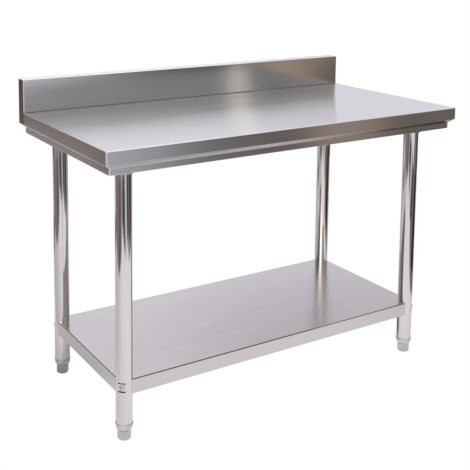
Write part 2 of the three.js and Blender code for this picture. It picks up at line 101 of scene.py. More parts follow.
# ------------------------------------------------------------------ shader helpers
class Tree:
    """Short calls for building a node tree."""

    def __init__(self, tree):
        self.t = tree
        self.x = 0

    def n(self, kind, **props):
        node = self.t.nodes.new(kind)
        node.location = (self.x, 0)
        self.x += 40
        for k, v in props.items():
            setattr(node, k, v)
        return node

    def put(self, socket, value):
        if value is None:
            return
        if isinstance(value, bpy.types.NodeSocket):
            self.t.links.new(value, socket)
        elif isinstance(value, bpy.types.Node):
            self.t.links.new(value.outputs[0], socket)
        else:
            if hasattr(socket.default_value, "__len__") and not hasattr(value, "__len__"):
                value = [value] * len(socket.default_value)
            if hasattr(socket.default_value, "__len__") and len(socket.default_value) == 4 and len(value) == 3:
                value = list(value) + [1.0]
            socket.default_value = value

    def math(self, op, a, b=None, c=None, clamp=False):
        node = self.n("ShaderNodeMath", operation=op, use_clamp=clamp)
        for s, v in zip(node.inputs, (a, b, c)):
            self.put(s, v)
        return node.outputs[0]

    def vmath(self, op, a, b=None):
        node = self.n("ShaderNodeVectorMath", operation=op)
        self.put(node.inputs[0], a)
        if b is not None:
            self.put(node.inputs[1], b)
        return node.outputs[1] if op in ("LENGTH", "DOT_PRODUCT", "DISTANCE") else node.outputs[0]

    def sep(self, v):
        node = self.n("ShaderNodeSeparateXYZ")
        self.put(node.inputs[0], v)
        return node.outputs

    def comb(self, x, y, z):
        node = self.n("ShaderNodeCombineXYZ")
        for s, v in zip(node.inputs, (x, y, z)):
            self.put(s, v)
        return node.outputs[0]

    def ramp01(self, v, lo, hi, smooth=True, out=(0.0, 1.0)):
        node = self.n("ShaderNodeMapRange", clamp=True)
        node.interpolation_type = "SMOOTHSTEP" if smooth else "LINEAR"
        for s, x in zip(node.inputs, (v, lo, hi, out[0], out[1])):
            self.put(s, x)
        return node.outputs[0]

    def mix(self, f, a, b, mode="MIX"):
        node = self.n("ShaderNodeMix", data_type="RGBA", blend_type=mode)
        self.put(node.inputs[0], f)
        self.put(node.inputs[6], a)
        self.put(node.inputs[7], b)
        return node.outputs[2]

    def mixf(self, f, a, b):
        node = self.n("ShaderNodeMix", data_type="FLOAT")
        self.put(node.inputs[0], f)
        self.put(node.inputs[2], a)
        self.put(node.inputs[3], b)
        return node.outputs[0]

    def noise(self, vec, scale, detail=2.0, rough=0.5, distort=0.0, dims="3D"):
        node = self.n("ShaderNodeTexNoise", noise_dimensions=dims)
        self.put(node.inputs["Vector"], vec)
        node.inputs["Scale"].default_value = scale
        node.inputs["Detail"].default_value = detail
        node.inputs["Roughness"].default_value = rough
        node.inputs["Distortion"].default_value = distort
        return node.outputs[0]

    def scaled(self, vec, sx, sy, sz, rot=(0, 0, 0)):
        node = self.n("ShaderNodeMapping")
        self.put(node.inputs["Vector"], vec)
        node.inputs["Scale"].default_value = (sx, sy, sz)
        node.inputs["Rotation"].default_value = rot
        return node.outputs[0]

    def colors(self, f, stops, interp="LINEAR"):
        """Colour ramp from [(position, (r, g, b)), ...]."""
        node = self.n("ShaderNodeValToRGB")
        node.color_ramp.interpolation = interp
        el = node.color_ramp.elements
        while len(el) > 1:
            el.remove(el[-1])
        el[0].position, el[0].color = stops[0][0], (*stops[0][1], 1)
        for p, c in stops[1:]:
            e = el.new(p)
            e.color = (*c, 1)
        self.put(node.inputs[0], f)
        return node.outputs[0]


def lin(r, g, b):
    """sRGB 0-255 to linear."""
    out = []
    for c in (r, g, b):
        c = c / 255
        out.append(c / 12.92 if c <= 0.04045 else ((c + 0.055) / 1.055) ** 2.4)
    return tuple(out)


def material(name):
    m = bpy.data.materials.new(name)
    m.use_nodes = True
    m.node_tree.nodes.clear()
    t = Tree(m.node_tree)
    bsdf = t.n("ShaderNodeBsdfPrincipled")
    out = t.n("ShaderNodeOutputMaterial")
    t.put(out.inputs[0], bsdf.outputs[0])
    return m, t, bsdf


def grain_metal(name, color, rough, aniso=0.0, streak=0.5, bump=0.02, along=9.0, across=1400.0, smudge=0.05,
                vary=0.05, tint=None, uv=True, edge=0.06):
    """Ground sheet: fine streaks along the rolling direction, slow cloudiness, rare hairlines and polished edges."""
    m, t, b = material(name)
    obj = t.n("ShaderNodeTexCoord").outputs["Object"]
    if uv:
        src = t.n("ShaderNodeUVMap", uv_map="grain").outputs[0]
        fine = t.scaled(src, across, along, 1)
        broad = t.scaled(src, across * 0.12, along * 0.35, 1)
        hair = t.scaled(src, across * 0.5, along * 1.7, 1, rot=(0, 0, 0.05))
    else:
        fine = t.scaled(obj, along, across, across)
        broad = t.scaled(obj, along * 0.35, across * 0.12, across * 0.12)
        hair = t.scaled(obj, along * 1.7, across * 0.5, across * 0.5)
    f1 = t.noise(fine, 1.0, 3.0, 0.6)
    f2 = t.noise(broad, 1.0, 2.0, 0.5)
    f3 = t.ramp01(t.noise(hair, 1.0, 1.0, 0.4), 0.72, 0.80)
    cloud = t.noise(obj, 3.1, 3.0, 0.55, 0.3)
    wipe = t.noise(t.scaled(obj, 2.0, 9.0, 9.0, rot=(0, 0, 0.5)), 1.0, 3.0, 0.6, 0.6)
    # roughness
    r = t.math("MULTIPLY_ADD", t.math("SUBTRACT", f1, 0.5), 0.16 * streak, rough)
    r = t.math("MULTIPLY_ADD", t.math("SUBTRACT", f2, 0.5), 0.10 * streak, r)
    r = t.math("MULTIPLY_ADD", t.math("SUBTRACT", cloud, 0.5), smudge, r)
    r = t.math("MULTIPLY_ADD", t.math("SUBTRACT", wipe, 0.5), smudge, r)
    # edges rubbed a little brighter and smoother
    bev = t.n("ShaderNodeBevel", samples=4)
    bev.inputs["Radius"].default_value = 0.0012
    geo = t.n("ShaderNodeNewGeometry")
    rub = t.ramp01(t.vmath("DOT_PRODUCT", bev.outputs[0], geo.outputs["Normal"]), 0.999, 0.93)
    rub = t.math("MULTIPLY", rub, t.ramp01(cloud, 0.35, 0.65))
    r = t.math("MULTIPLY_ADD", rub, -edge, r)
    t.put(b.inputs["Roughness"], t.math("MAXIMUM", r, 0.03))
    # colour
    lo = [c * (1 - vary) for c in color]
    hi = [min(1, c * (1 + vary)) for c in color]
    col = t.mix(t.ramp01(f2, 0.3, 0.7, False), lo, hi)
    if tint:
        col = t.mix(t.math("MULTIPLY", t.ramp01(cloud, 0.3, 0.7), 0.5), col, tint)
    col = t.mix(t.math("MULTIPLY", t.math("SUBTRACT", f1, 0.35, clamp=True), 0.10 * streak), col, [min(1, c * 1.25) for c in color])
    col = t.mix(t.math("MULTIPLY", f3, 0.25 * streak), col, [c * 0.72 for c in color])
    col = t.mix(t.math("MULTIPLY", rub, 0.35), col, [min(1, c * 1.3 + 0.04) for c in color])
    t.put(b.inputs["Base Color"], col)
    b.inputs["Metallic"].default_value = 1.0
    if aniso:
        b.inputs["Anisotropic"].default_value = aniso
        tan = t.n("ShaderNodeTangent", direction_type="UV_MAP", uv_map="grain")
        t.put(b.inputs["Tangent"], tan.outputs[0])
    bn = t.n("ShaderNodeBump")
    bn.inputs["Strength"].default_value = 1.0
    bn.inputs["Distance"].default_value = bump * MM
    h = t.math("ADD", f1, t.math("MULTIPLY", f2, 1.5))
    h = t.math("MULTIPLY_ADD", f3, -1.0, h)
    t.put(bn.inputs["Height"], h)
    t.put(b.inputs["Normal"], bn.outputs[0])
    return m


# worktop: ground finish, grain along the length
M_TOP = grain_metal("worktop_ground_steel", (0.70, 0.698, 0.71), 0.195, aniso=1.0, streak=0.28, bump=0.0007, along=5, across=1100, smudge=0.025, vary=0.012)
# the end caps are darker than the worktop steel: painted shade on the end faces
M_SPLASH_CAP_SHADED = grain_metal("end_cap_ground_steel_painted_shade", (0.50, 0.50, 0.49), 0.26, aniso=0.6, streak=0.8, bump=0.004, along=7, across=900, smudge=0.05, vary=0.04)
M_SHELF = grain_metal("shelf_satin_steel", (0.665, 0.65, 0.662), 0.20, aniso=0.35, streak=0.35, bump=0.001, along=6, across=900, smudge=0.03, vary=0.015)
M_CHANNEL = grain_metal("channel_mill_steel", (0.52, 0.52, 0.53), 0.42, streak=0.9, bump=0.008, along=12, across=500, smudge=0.10, vary=0.07, uv=False)


def tube_metal():
    """Polished drawn tube: draw lines along it, slight waviness and a few rub marks."""
    m, t, b = material("leg_polished_steel")
    obj = t.n("ShaderNodeTexCoord").outputs["Object"]
    draw = t.noise(t.scaled(obj, 900, 900, 4.0), 1.0, 2.0, 0.5)
    wave = t.noise(t.scaled(obj, 26, 26, 5.0), 1.0, 2.0, 0.5)
    rub = t.ramp01(t.noise(t.scaled(obj, 60, 60, 22), 1.0, 4.0, 0.65, 0.5), 0.60, 0.78)
    ring = t.noise(t.scaled(obj, 30, 30, 1500), 1.0, 1.0, 0.4)
    r = t.math("MULTIPLY_ADD", t.math("SUBTRACT", draw, 0.5), 0.05, 0.075)
    r = t.math("MULTIPLY_ADD", rub, 0.05, r)
    r = t.math("MULTIPLY_ADD", t.math("SUBTRACT", ring, 0.5), 0.03, r)
    t.put(b.inputs["Roughness"], t.math("MAXIMUM", r, 0.03))
    col = t.mix(t.ramp01(draw, 0.3, 0.7, False), (0.73, 0.712, 0.715), (0.79, 0.772, 0.775))
    col = t.mix(t.math("MULTIPLY", rub, 0.25), col, (0.66, 0.64, 0.64))
    t.put(b.inputs["Base Color"], col)
    b.inputs["Metallic"].default_value = 1.0
    bn = t.n("ShaderNodeBump")
    bn.inputs["Distance"].default_value = 0.012 * MM
    t.put(bn.inputs["Height"], t.math("MULTIPLY_ADD", wave, 1.2, t.math("MULTIPLY", draw, 0.25)))
    t.put(b.inputs["Normal"], bn.outputs[0])
    return m


def turned_metal(name, color, rough, ring=0.03, bump=0.006, cast=0.0, dark=0.0):
    """Turned or rolled part: tool marks round the axis, with a slow stain, or an as-cast grain if cast is set."""
    m, t, b = material(name)
    obj = t.n("ShaderNodeTexCoord").outputs["Object"]
    z = t.sep(obj)[2]
    marks = t.noise(t.scaled(obj, 12, 12, 1900), 1.0, 3.0, 0.6)
    speck = t.noise(obj, 900, 3.0, 0.6)
    stain = t.noise(obj, 42, 4.0, 0.6, 0.4)
    r = t.math("MULTIPLY_ADD", t.math("SUBTRACT", marks, 0.5), ring * 4, rough)
    r = t.math("MULTIPLY_ADD", t.math("SUBTRACT", stain, 0.5), 0.12, r)
    bev = t.n("ShaderNodeBevel", samples=4)
    bev.inputs["Radius"].default_value = 0.0008
    geo = t.n("ShaderNodeNewGeometry")
    rub = t.ramp01(t.vmath("DOT_PRODUCT", bev.outputs[0], geo.outputs["Normal"]), 0.998, 0.92)
    r = t.math("MULTIPLY_ADD", rub, -0.08, r)
    t.put(b.inputs["Roughness"], t.math("MAXIMUM", r, 0.06))
    col = t.mix(t.ramp01(stain, 0.3, 0.7), [c * 0.90 for c in color], [min(1, c * 1.07) for c in color])
    col = t.mix(t.math("MULTIPLY", t.ramp01(speck, 0.55, 0.75), 0.10 + cast * 0.3), col, [c * 0.7 for c in color])
    col = t.mix(t.math("MULTIPLY", rub, 0.5), col, [min(1, c * 1.35 + 0.05) for c in color])
    t.put(b.inputs["Base Color"], col)
    b.inputs["Metallic"].default_value = 1.0
    bn = t.n("ShaderNodeBump")
    bn.inputs["Distance"].default_value = (bump + cast * 0.05) * MM
    h = t.math("ADD", t.math("MULTIPLY", marks, 1.0 - cast), t.math("MULTIPLY", speck, 0.3 + cast * 2))
    t.put(bn.inputs["Height"], h)
    t.put(b.inputs["Normal"], bn.outputs[0])
    return m


M_SPLASH = grain_metal("upstand_brushed_steel", (0.70, 0.698, 0.70), 0.10, aniso=1.0, streak=0.28, bump=0.0007, along=5, across=1100, smudge=0.035, vary=0.012)
# near-black steel on bends: painted shade in the upstand's crease and a painted dark reflection along the shelf's top
# bend
M_BEND_PAINTED_SHADE = grain_metal("bend_painted_shade_and_reflection_steel", (0.075, 0.07, 0.066), 0.40, streak=0.5, bump=0.004, along=30, across=900, smudge=0.04, vary=0.05, uv=False)
# near-white matt steel on the welded corners: a painted highlight along them
M_WELD_HIGHLIGHT = grain_metal("corner_weld_painted_highlight", (0.93, 0.925, 0.93), 0.62, streak=0.5, bump=0.004, along=60, across=900, smudge=0.04, vary=0.03, uv=False)
M_TUBE = tube_metal()
# near-black steel inside the tube and on the slit walls: painted shade
M_BORE_SHADE = grain_metal("tube_bore_painted_shade_steel", (0.10, 0.096, 0.092), 0.52, streak=0.5, bump=0.006, along=30, across=700, smudge=0.06, vary=0.06, uv=False)
M_FOOT = turned_metal("foot_satin_steel", (0.59, 0.60, 0.63), 0.17)
M_INSERT = turned_metal("insert_satin_steel", (0.66, 0.66, 0.68), 0.24)
M_STEM = turned_metal("stem_rolled_steel", (0.60, 0.60, 0.60), 0.27, bump=0.003)
M_SOCKET = turned_metal("socket_cast_alloy", (0.50, 0.50, 0.51), 0.46, cast=0.6)
M_SCREW = turned_metal("set_screw_black_oxide", (0.07, 0.07, 0.075), 0.42)
M_FASTENER = turned_metal("fastener_bright_steel", (0.70, 0.685, 0.67), 0.19, bump=0.003)


def particle_board():
    m, t, b = material("core_particle_board")
    obj = t.n("ShaderNodeTexCoord").outputs["Object"]
    vor = t.n("ShaderNodeTexVoronoi", feature="F1")
    t.put(vor.inputs["Vector"], t.scaled(obj, 260, 260, 520))
    vor.inputs["Scale"].default_value = 1.0
    vor.inputs["Randomness"].default_value = 1.0
    chips = vor.outputs["Color"]
    tone = t.sep(chips)[0]
    fibre = t.noise(t.scaled(obj, 500, 160, 700), 1.0, 4.0, 0.6)
    blot = t.noise(obj, 9, 3.0, 0.5)
    col = t.colors(tone, [(0.0, (0.24, 0.165, 0.09)), (0.35, (0.42, 0.31, 0.19)), (0.7, (0.52, 0.40, 0.26)), (1.0, (0.34, 0.24, 0.14))])
    col = t.mix(t.math("MULTIPLY", fibre, 0.5), col, (0.58, 0.46, 0.31))
    col = t.mix(t.math("MULTIPLY", t.ramp01(blot, 0.4, 0.7), 0.35), col, (0.30, 0.22, 0.14))
    t.put(b.inputs["Base Color"], col)
    t.put(b.inputs["Roughness"], t.math("MULTIPLY_ADD", fibre, 0.2, 0.68))
    bn = t.n("ShaderNodeBump")
    bn.inputs["Distance"].default_value = 0.25 * MM
    t.put(bn.inputs["Height"], t.math("ADD", tone, fibre))
    t.put(b.inputs["Normal"], bn.outputs[0])
    return m


def nylon():
    m, t, b = material("pad_moulded_nylon")
    obj = t.n("ShaderNodeTexCoord").outputs["Object"]
    skin = t.noise(obj, 1400, 3.0, 0.6)
    scuff = t.ramp01(t.noise(t.scaled(obj, 300, 300, 90), 1.0, 4.0, 0.7, 0.8), 0.5, 0.75)
    col = t.mix(t.math("MULTIPLY", scuff, 0.5), (0.035, 0.035, 0.037), (0.11, 0.11, 0.11))
    t.put(b.inputs["Base Color"], col)
    t.put(b.inputs["Roughness"], t.math("MULTIPLY_ADD", scuff, 0.2, t.math("MULTIPLY_ADD", skin, 0.1, 0.45)))
    bn = t.n("ShaderNodeBump")
    bn.inputs["Distance"].default_value = 0.03 * MM
    t.put(bn.inputs["Height"], skin)
    t.put(b.inputs["Normal"], bn.outputs[0])
    return m


M_BOARD = particle_board()
M_NYLON = nylon()

# ------------------------------------------------------------------ mesh helpers (millimetres in, metres out)
def mesh_object(name, verts, faces, mat):
    me = bpy.data.meshes.new(name)
    me.from_pydata([(x * MM, y * MM, z * MM) for x, y, z in verts], [], faces)
    me.validate()
    me.materials.append(mat)
    ob = bpy.data.objects.new(name, me)
    SCENE.collection.objects.link(ob)
    return ob


def fillet(pts, radii, n=6):
    """Rounds the corners of an open run of points. radii maps a point's index to its radius."""
    out = []
    for i, p in enumerate(pts):
        r = radii.get(i, 0) if isinstance(radii, dict) else radii
        if r <= 0 or i == 0 or i == len(pts) - 1:
            out.append(tuple(p))
            continue
        p = Vector(p)
        a, b = Vector(pts[i - 1]) - p, Vector(pts[i + 1]) - p
        half = a.angle(b) / 2
        cut = r / math.tan(half)
        a.normalize()
        b.normalize()
        centre = p + (a + b).normalized() * (r / math.sin(half))
        s, e = p + a * cut - centre, p + b * cut - centre
        a0, a1 = math.atan2(s.y, s.x), math.atan2(e.y, e.x)
        d = (a1 - a0 + math.pi) % (2 * math.pi) - math.pi
        for k in range(n + 1):
            g = a0 + d * k / n
            out.append((centre.x + r * math.cos(g), centre.y + r * math.sin(g)))
    return out


def rounded_ring(hx, hy, radii, n=6):
    """Counter-clockwise rounded rectangle, corners in the order +x+y, -x+y, -x-y, +x-y."""
    out = []
    for k, (sx, sy) in enumerate(((1, 1), (-1, 1), (-1, -1), (1, -1))):
        r = radii[k]
        for j in range(n + 1):
            g = math.pi / 2 * (k + j / n)
            out.append((sx * (hx - r) + r * math.cos(g), sy * (hy - r) + r * math.sin(g)))
    return out


def tray(name, hx, hy, outer, inner, r_out, r_in, mat, n=6):
    """Closed folded tray. outer and inner are runs of (inset, height) from the middle out, round the edge and back."""
    verts, faces = [], []
    rows = [(p, r_out) for p in outer] + [(p, r_in) for p in inner]
    count = 4 * (n + 1)
    for (d, z), radii in rows:
        verts += [(x, y, z) for x, y in rounded_ring(hx - d, hy - d, radii, n)]
    for k in range(len(rows) - 1):
        for i in range(count):
            j = (i + 1) % count
            faces.append((k * count + i, (k + 1) * count + i, (k + 1) * count + j, k * count + j))
    faces.append(tuple(range(count)))
    base = (len(rows) - 1) * count
    faces.append(tuple(base + i for i in reversed(range(count))))
    return mesh_object(name, verts, faces, mat)


def prism_x(name, outline, sections, mat):
    """Closed solid whose (y, z) outline runs along X. sections are (x, offset inward)."""
    verts, faces = [], []
    n = len(outline)
    normals = []
    for i in range(n):
        a, b, c = Vector(outline[i - 1]), Vector(outline[i]), Vector(outline[(i + 1) % n])
        e1, e2 = (b - a).normalized(), (c - b).normalized()
        m = (Vector((-e1.y, e1.x)) + Vector((-e2.y, e2.x))).normalized()
        normals.append(m / max(0.5, m.dot(Vector((-e1.y, e1.x)))))
    for x, off in sections:
        verts += [(x, p[0] + q.x * off, p[1] + q.y * off) for p, q in zip(outline, normals)]
    for k in range(len(sections) - 1):
        for i in range(n):
            j = (i + 1) % n
            faces.append((k * n + i, k * n + j, (k + 1) * n + j, (k + 1) * n + i))
    faces.append(tuple(reversed(range(n))))
    base = (len(sections) - 1) * n
    faces.append(tuple(base + i for i in range(n)))
    ob = mesh_object(name, verts, faces, mat)
    fix_normals(ob)
    return ob


def fix_normals(ob):
    bm = bmesh.new()
    bm.from_mesh(ob.data)
    bmesh.ops.recalc_face_normals(bm, faces=bm.faces)
    bm.to_mesh(ob.data)
    bm.free()


def block(name, x0, x1, y0, y1, z0, z1):
    v = [(x, y, z) for x in (x0, x1) for y in (y0, y1) for z in (z0, z1)]
    f = [(0, 1, 3, 2), (4, 6, 7, 5), (0, 4, 5, 1), (2, 3, 7, 6), (0, 2, 6, 4), (1, 5, 7, 3)]
    ob = mesh_object(name, v, f, M_TOP)
    fix_normals(ob)
    return ob


def prism_z(name, outline, z0, z1, mat):
    n = len(outline)
    verts = [(x, y, z0) for x, y in outline] + [(x, y, z1) for x, y in outline]
    faces = [(i, (i + 1) % n, n + (i + 1) % n, n + i) for i in range(n)]
    faces += [tuple(reversed(range(n))), tuple(range(n, 2 * n))]
    ob = mesh_object(name, verts, faces, mat)
    fix_normals(ob)
    return ob


def boolean(a, b, op):
    """Applies a Boolean to a's mesh and removes b."""
    m = a.modifiers.new("cut", "BOOLEAN")
    m.operation = op
    m.object = b
    m.solver = "MANIFOLD"
    bpy.context.view_layer.update()
    dg = bpy.context.evaluated_depsgraph_get()
    me = bpy.data.meshes.new_from_object(a.evaluated_get(dg))
    a.modifiers.remove(m)
    old = a.data
    a.data = me
    bpy.data.meshes.remove(old)
    me.name = a.name
    bpy.data.objects.remove(b)


def lathe(name, profile, n, mat, closed=False):
    """Solid of revolution about Z from (radius, z) points; points with radius 0 become poles."""
    verts, faces, rows = [], [], []
    for r, z in profile:
        if r <= 1e-6:
            rows.append([len(verts)])
            verts.append((0, 0, z))
        else:
            rows.append(list(range(len(verts), len(verts) + n)))
            verts += [(r * math.cos(2 * math.pi * i / n), r * math.sin(2 * math.pi * i / n), z) for i in range(n)]
    pairs = list(zip(rows, rows[1:]))
    if closed:
        pairs.append((rows[-1], rows[0]))
    for a, b in pairs:
        for i in range(n):
            j = (i + 1) % n
            if len(a) == 1 and len(b) == 1:
                continue
            if len(a) == 1:
                faces.append((a[0], b[i], b[j]))
            elif len(b) == 1:
                faces.append((a[i], b[0], a[j]))
            else:
                faces.append((a[i], b[i], b[j], a[j]))
    ob = mesh_object(name, verts, faces, mat)
    fix_normals(ob)
    return ob


def grain_uv(ob, flip=False):
    """UV map "grain": U across the grain, V along it, in metres. The grain runs along X, and along Y on the end faces."""
    me = ob.data
    layer = me.uv_layers.get("grain") or me.uv_layers.new(name="grain")
    co = [v.co.copy() for v in me.vertices]
    for p in me.polygons:
        nx, ny = abs(p.normal.x), abs(p.normal.y)
        side = nx > 0.3 and nx > ny
        for li in p.loop_indices:
            v = co[me.loops[li].vertex_index]
            if side:
                uv = (v.z + 0.9 * abs(v.x), v.y)
            else:
                uv = (v.z - 0.9 * v.y, v.x)
            layer.data[li].uv = uv


def finish_mesh(ob, angle=32, weighted=True):
    me = ob.data
    me.shade_smooth()
    me.set_sharp_from_angle(angle=math.radians(angle))
    if weighted:
        w = ob.modifiers.new("weighted_normals", "WEIGHTED_NORMAL")
        w.keep_sharp = True
        w.weight = 100
        w.mode = "FACE_AREA"


def place(ob, body, slot, *nodes, at=None):
    """Moves the mesh into the row frame, rides it and hides the CAD parts it stands for."""
    if at is not None:
        x, y, turn = at
        ob.data.transform(Matrix.Translation((x * MM, y * MM, 0)) @ Matrix.Rotation(turn, 4, "Z"))
    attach(ob, body)
    if nodes:
        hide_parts(*nodes)
    return ob


def join_data(name, obs):
    """Joins separate closed meshes into the first object."""
    bm = bmesh.new()
    for o in obs:
        bm.from_mesh(o.data)
    me = bpy.data.meshes.new(name)
    bm.to_mesh(me)
    bm.free()
    for m in obs[0].data.materials:
        me.materials.append(m)
    for o in obs[1:]:
        bpy.data.objects.remove(o)
    obs[0].data = me
    return obs[0]


# ------------------------------------------------------------------ worktop sheet
slope = math.hypot(BEVEL_IN, 12)
nx_, nz_ = 12 / slope, BEVEL_IN / slope


def bevel_z(d):
    """Height of the inner skin of the bevel at inset d."""
    return Z_FASCIA + SHEET * nz_ - (d - SHEET * nx_) * 12 / BEVEL_IN


outer = fillet([(100, Z_TOP), (0, Z_TOP), (0, Z_FASCIA), (BEVEL_IN, Z_BEVEL), (BEVEL_IN, Z_RAIL), (BEVEL_IN + 10, Z_RAIL)],
               {1: 2.2, 2: 1.4, 3: 1.2, 4: 1.8}, 7)
d1, d2 = SHEET, BEVEL_IN + SHEET
inner = fillet([(BEVEL_IN + 10, Z_RAIL + SHEET), (d2, Z_RAIL + SHEET), (d2, bevel_z(d2)), (d1, bevel_z(d1)), (d1, Z_TOP - SHEET), (100, Z_TOP - SHEET)],
               {1: 0.6, 2: 2.2, 3: 0.4, 4: 1.0}, 4)
worktop = tray("worktop_folded_sheet", HX, HY, outer, inner, (2.0, 2.0, 3.0, 3.0), (1.0, 1.0, 1.8, 1.8), M_TOP)
splash_outline = fillet(
    [(UP_FRONT - 4, Z_TOP - 0.5), (UP_FRONT - 4, Z_TOP), (UP_FRONT, Z_TOP), (UP_FRONT, Z_SPLASH), (HY, Z_SPLASH), (HY, Z_TOP - 0.5)],
    {2: 2.4, 3: 2.2, 4: 2.2}, 7)
END_R = 3.0
end = [(-HX + END_R * (1 - math.cos(math.pi / 2 * k / 6)), END_R * (1 - math.sin(math.pi / 2 * k / 6))) for k in range(7)]
sections = end + [(-x, o) for x, o in reversed(end)]
# the outline runs clockwise seen from +X, so an inward offset is to its right
splash = prism_x("splash_solid", splash_outline, [(x, -o) for x, o in sections], M_TOP)
boolean(worktop, splash, "UNION")
hollow = block("splash_hollow", -HX - 5, HX + 5, UP_FRONT + SHEET, HY - SHEET, Z_FASCIA + 2, Z_SPLASH - SHEET)
boolean(worktop, hollow, "DIFFERENCE")
grain_uv(worktop)
worktop.data.materials.append(M_WELD_HIGHLIGHT)
worktop.data.materials.append(M_BEND_PAINTED_SHADE)
worktop.data.materials.append(M_SPLASH)
for p in worktop.data.polygons:
    # the fold where the upstand leaves the worktop gets the near-black bend colour, painted shade in the crease
    if p.normal.z > 0.2 and p.normal.y < -0.2 and abs(p.center.y - UP_FRONT * MM) < 0.003 and p.center.z < (Z_TOP + 3) * MM:
        p.material_index = 2
        continue
    if p.normal.y < -0.9 and abs(p.center.y - UP_FRONT * MM) < 0.001 and p.center.z > (Z_TOP + 3) * MM:
        p.material_index = 3
        continue
    # the vertical corners are welded and ground back; their near-white matt colour is a painted highlight
    if abs(p.normal.x) > 0.12 and abs(p.normal.y) > 0.12 and p.area < 3e-4:
        p.material_index = 1
finish_mesh(worktop, 28)
place(worktop, ROOT, "worktop_steel", "worktop_sheet")

# ------------------------------------------------------------------ end caps of the upstand
for side in ("left", "right"):
    lo, hi = span("splashback_end_cap_" + side)
    s = -1 if side == "left" else 1
    y0, y1, z0, z1 = lo[1], hi[1], lo[2], hi[2]
    slot_y0, slot_y1, slot_h = y0 + 14, y0 + 18, 5
    outline = fillet([(y0 + 8, z0), (slot_y0, z0), (slot_y0, z0 + slot_h), (slot_y1, z0 + slot_h), (slot_y1, z0), (y1, z0), (y1, z1), (y0, z1), (y0, z0), (y0 + 8, z0)],
                     {2: 1.6, 3: 1.6, 5: 0.8, 6: 0.8, 7: 0.8, 8: 0.8}, 5)[:-1]
    xo, xi = s * HX, s * (HX - SHEET)
    secs = [(xo, 0.35), (xo - s * 0.12, 0.12), (xo - s * 0.35, 0.0), (xi, 0.0)]
    cap = prism_x("end_cap_plate_" + side, outline, secs, M_SPLASH_CAP_SHADED)
    grain_uv(cap)
    finish_mesh(cap, 40)
    place(cap, ROOT, "worktop_steel", "splashback_end_cap_" + side)

# ------------------------------------------------------------------ undershelf
s_outer = fillet([(90, Z_SHELF), (0, Z_SHELF), (0, Z_SHELF_LOW), (12, Z_SHELF_LOW)], {1: 2.8, 2: 1.6}, 7)
s_inner = fillet([(12, Z_SHELF_LOW + 1), (1, Z_SHELF_LOW + 1), (1, Z_SHELF - 1), (90, Z_SHELF - 1)], {1: 0.7, 2: 1.0}, 4)
shelf = tray("undershelf_folded_sheet", SX, SY, s_outer, s_inner, (2, 2, 2, 2), (1.2, 1.2, 1.2, 1.2), M_SHELF)
for name, x, y, turn in CORNERS:
    ox, oy = math.copysign(1, x), math.copysign(1, y)
    R = LEG_R + 0.3
    pts = [(x + ox * 40, y), (x + ox * 40, y + oy * 40), (x, y + oy * 40)]
    n = 72
    for k in range(n + 1):
        g = math.pi / 2 + k / n * 1.5 * math.pi      # from +oy round the inboard side to +ox
        pts.append((x + ox * R * math.cos(g), y + oy * R * math.sin(g)))
    boolean(shelf, prism_z("notch", pts, Z_SHELF_LOW - 10, Z_SHELF + 10, M_SHELF), "DIFFERENCE")
grain_uv(shelf)
shelf.data.materials.append(M_BEND_PAINTED_SHADE)
for p in shelf.data.polygons:
    # the outside of the top bend gets the near-black bend colour, a painted dark reflection along the bend
    if 0.45 < p.normal.z < 0.9 and p.center.z > (Z_SHELF - 2.9) * MM and p.area < 2e-3:
        p.material_index = 1
finish_mesh(shelf, 28)
place(shelf, ROOT, "shelf_steel", "undershelf_sheet")

# ------------------------------------------------------------------ leg tube
SEAT_OUT, SEAT_HALF, SLIT, SLIT_TOP, SLIT_W = 20.0, 10.0, 2.5, 3.7, 11.0
BORE = 3.3


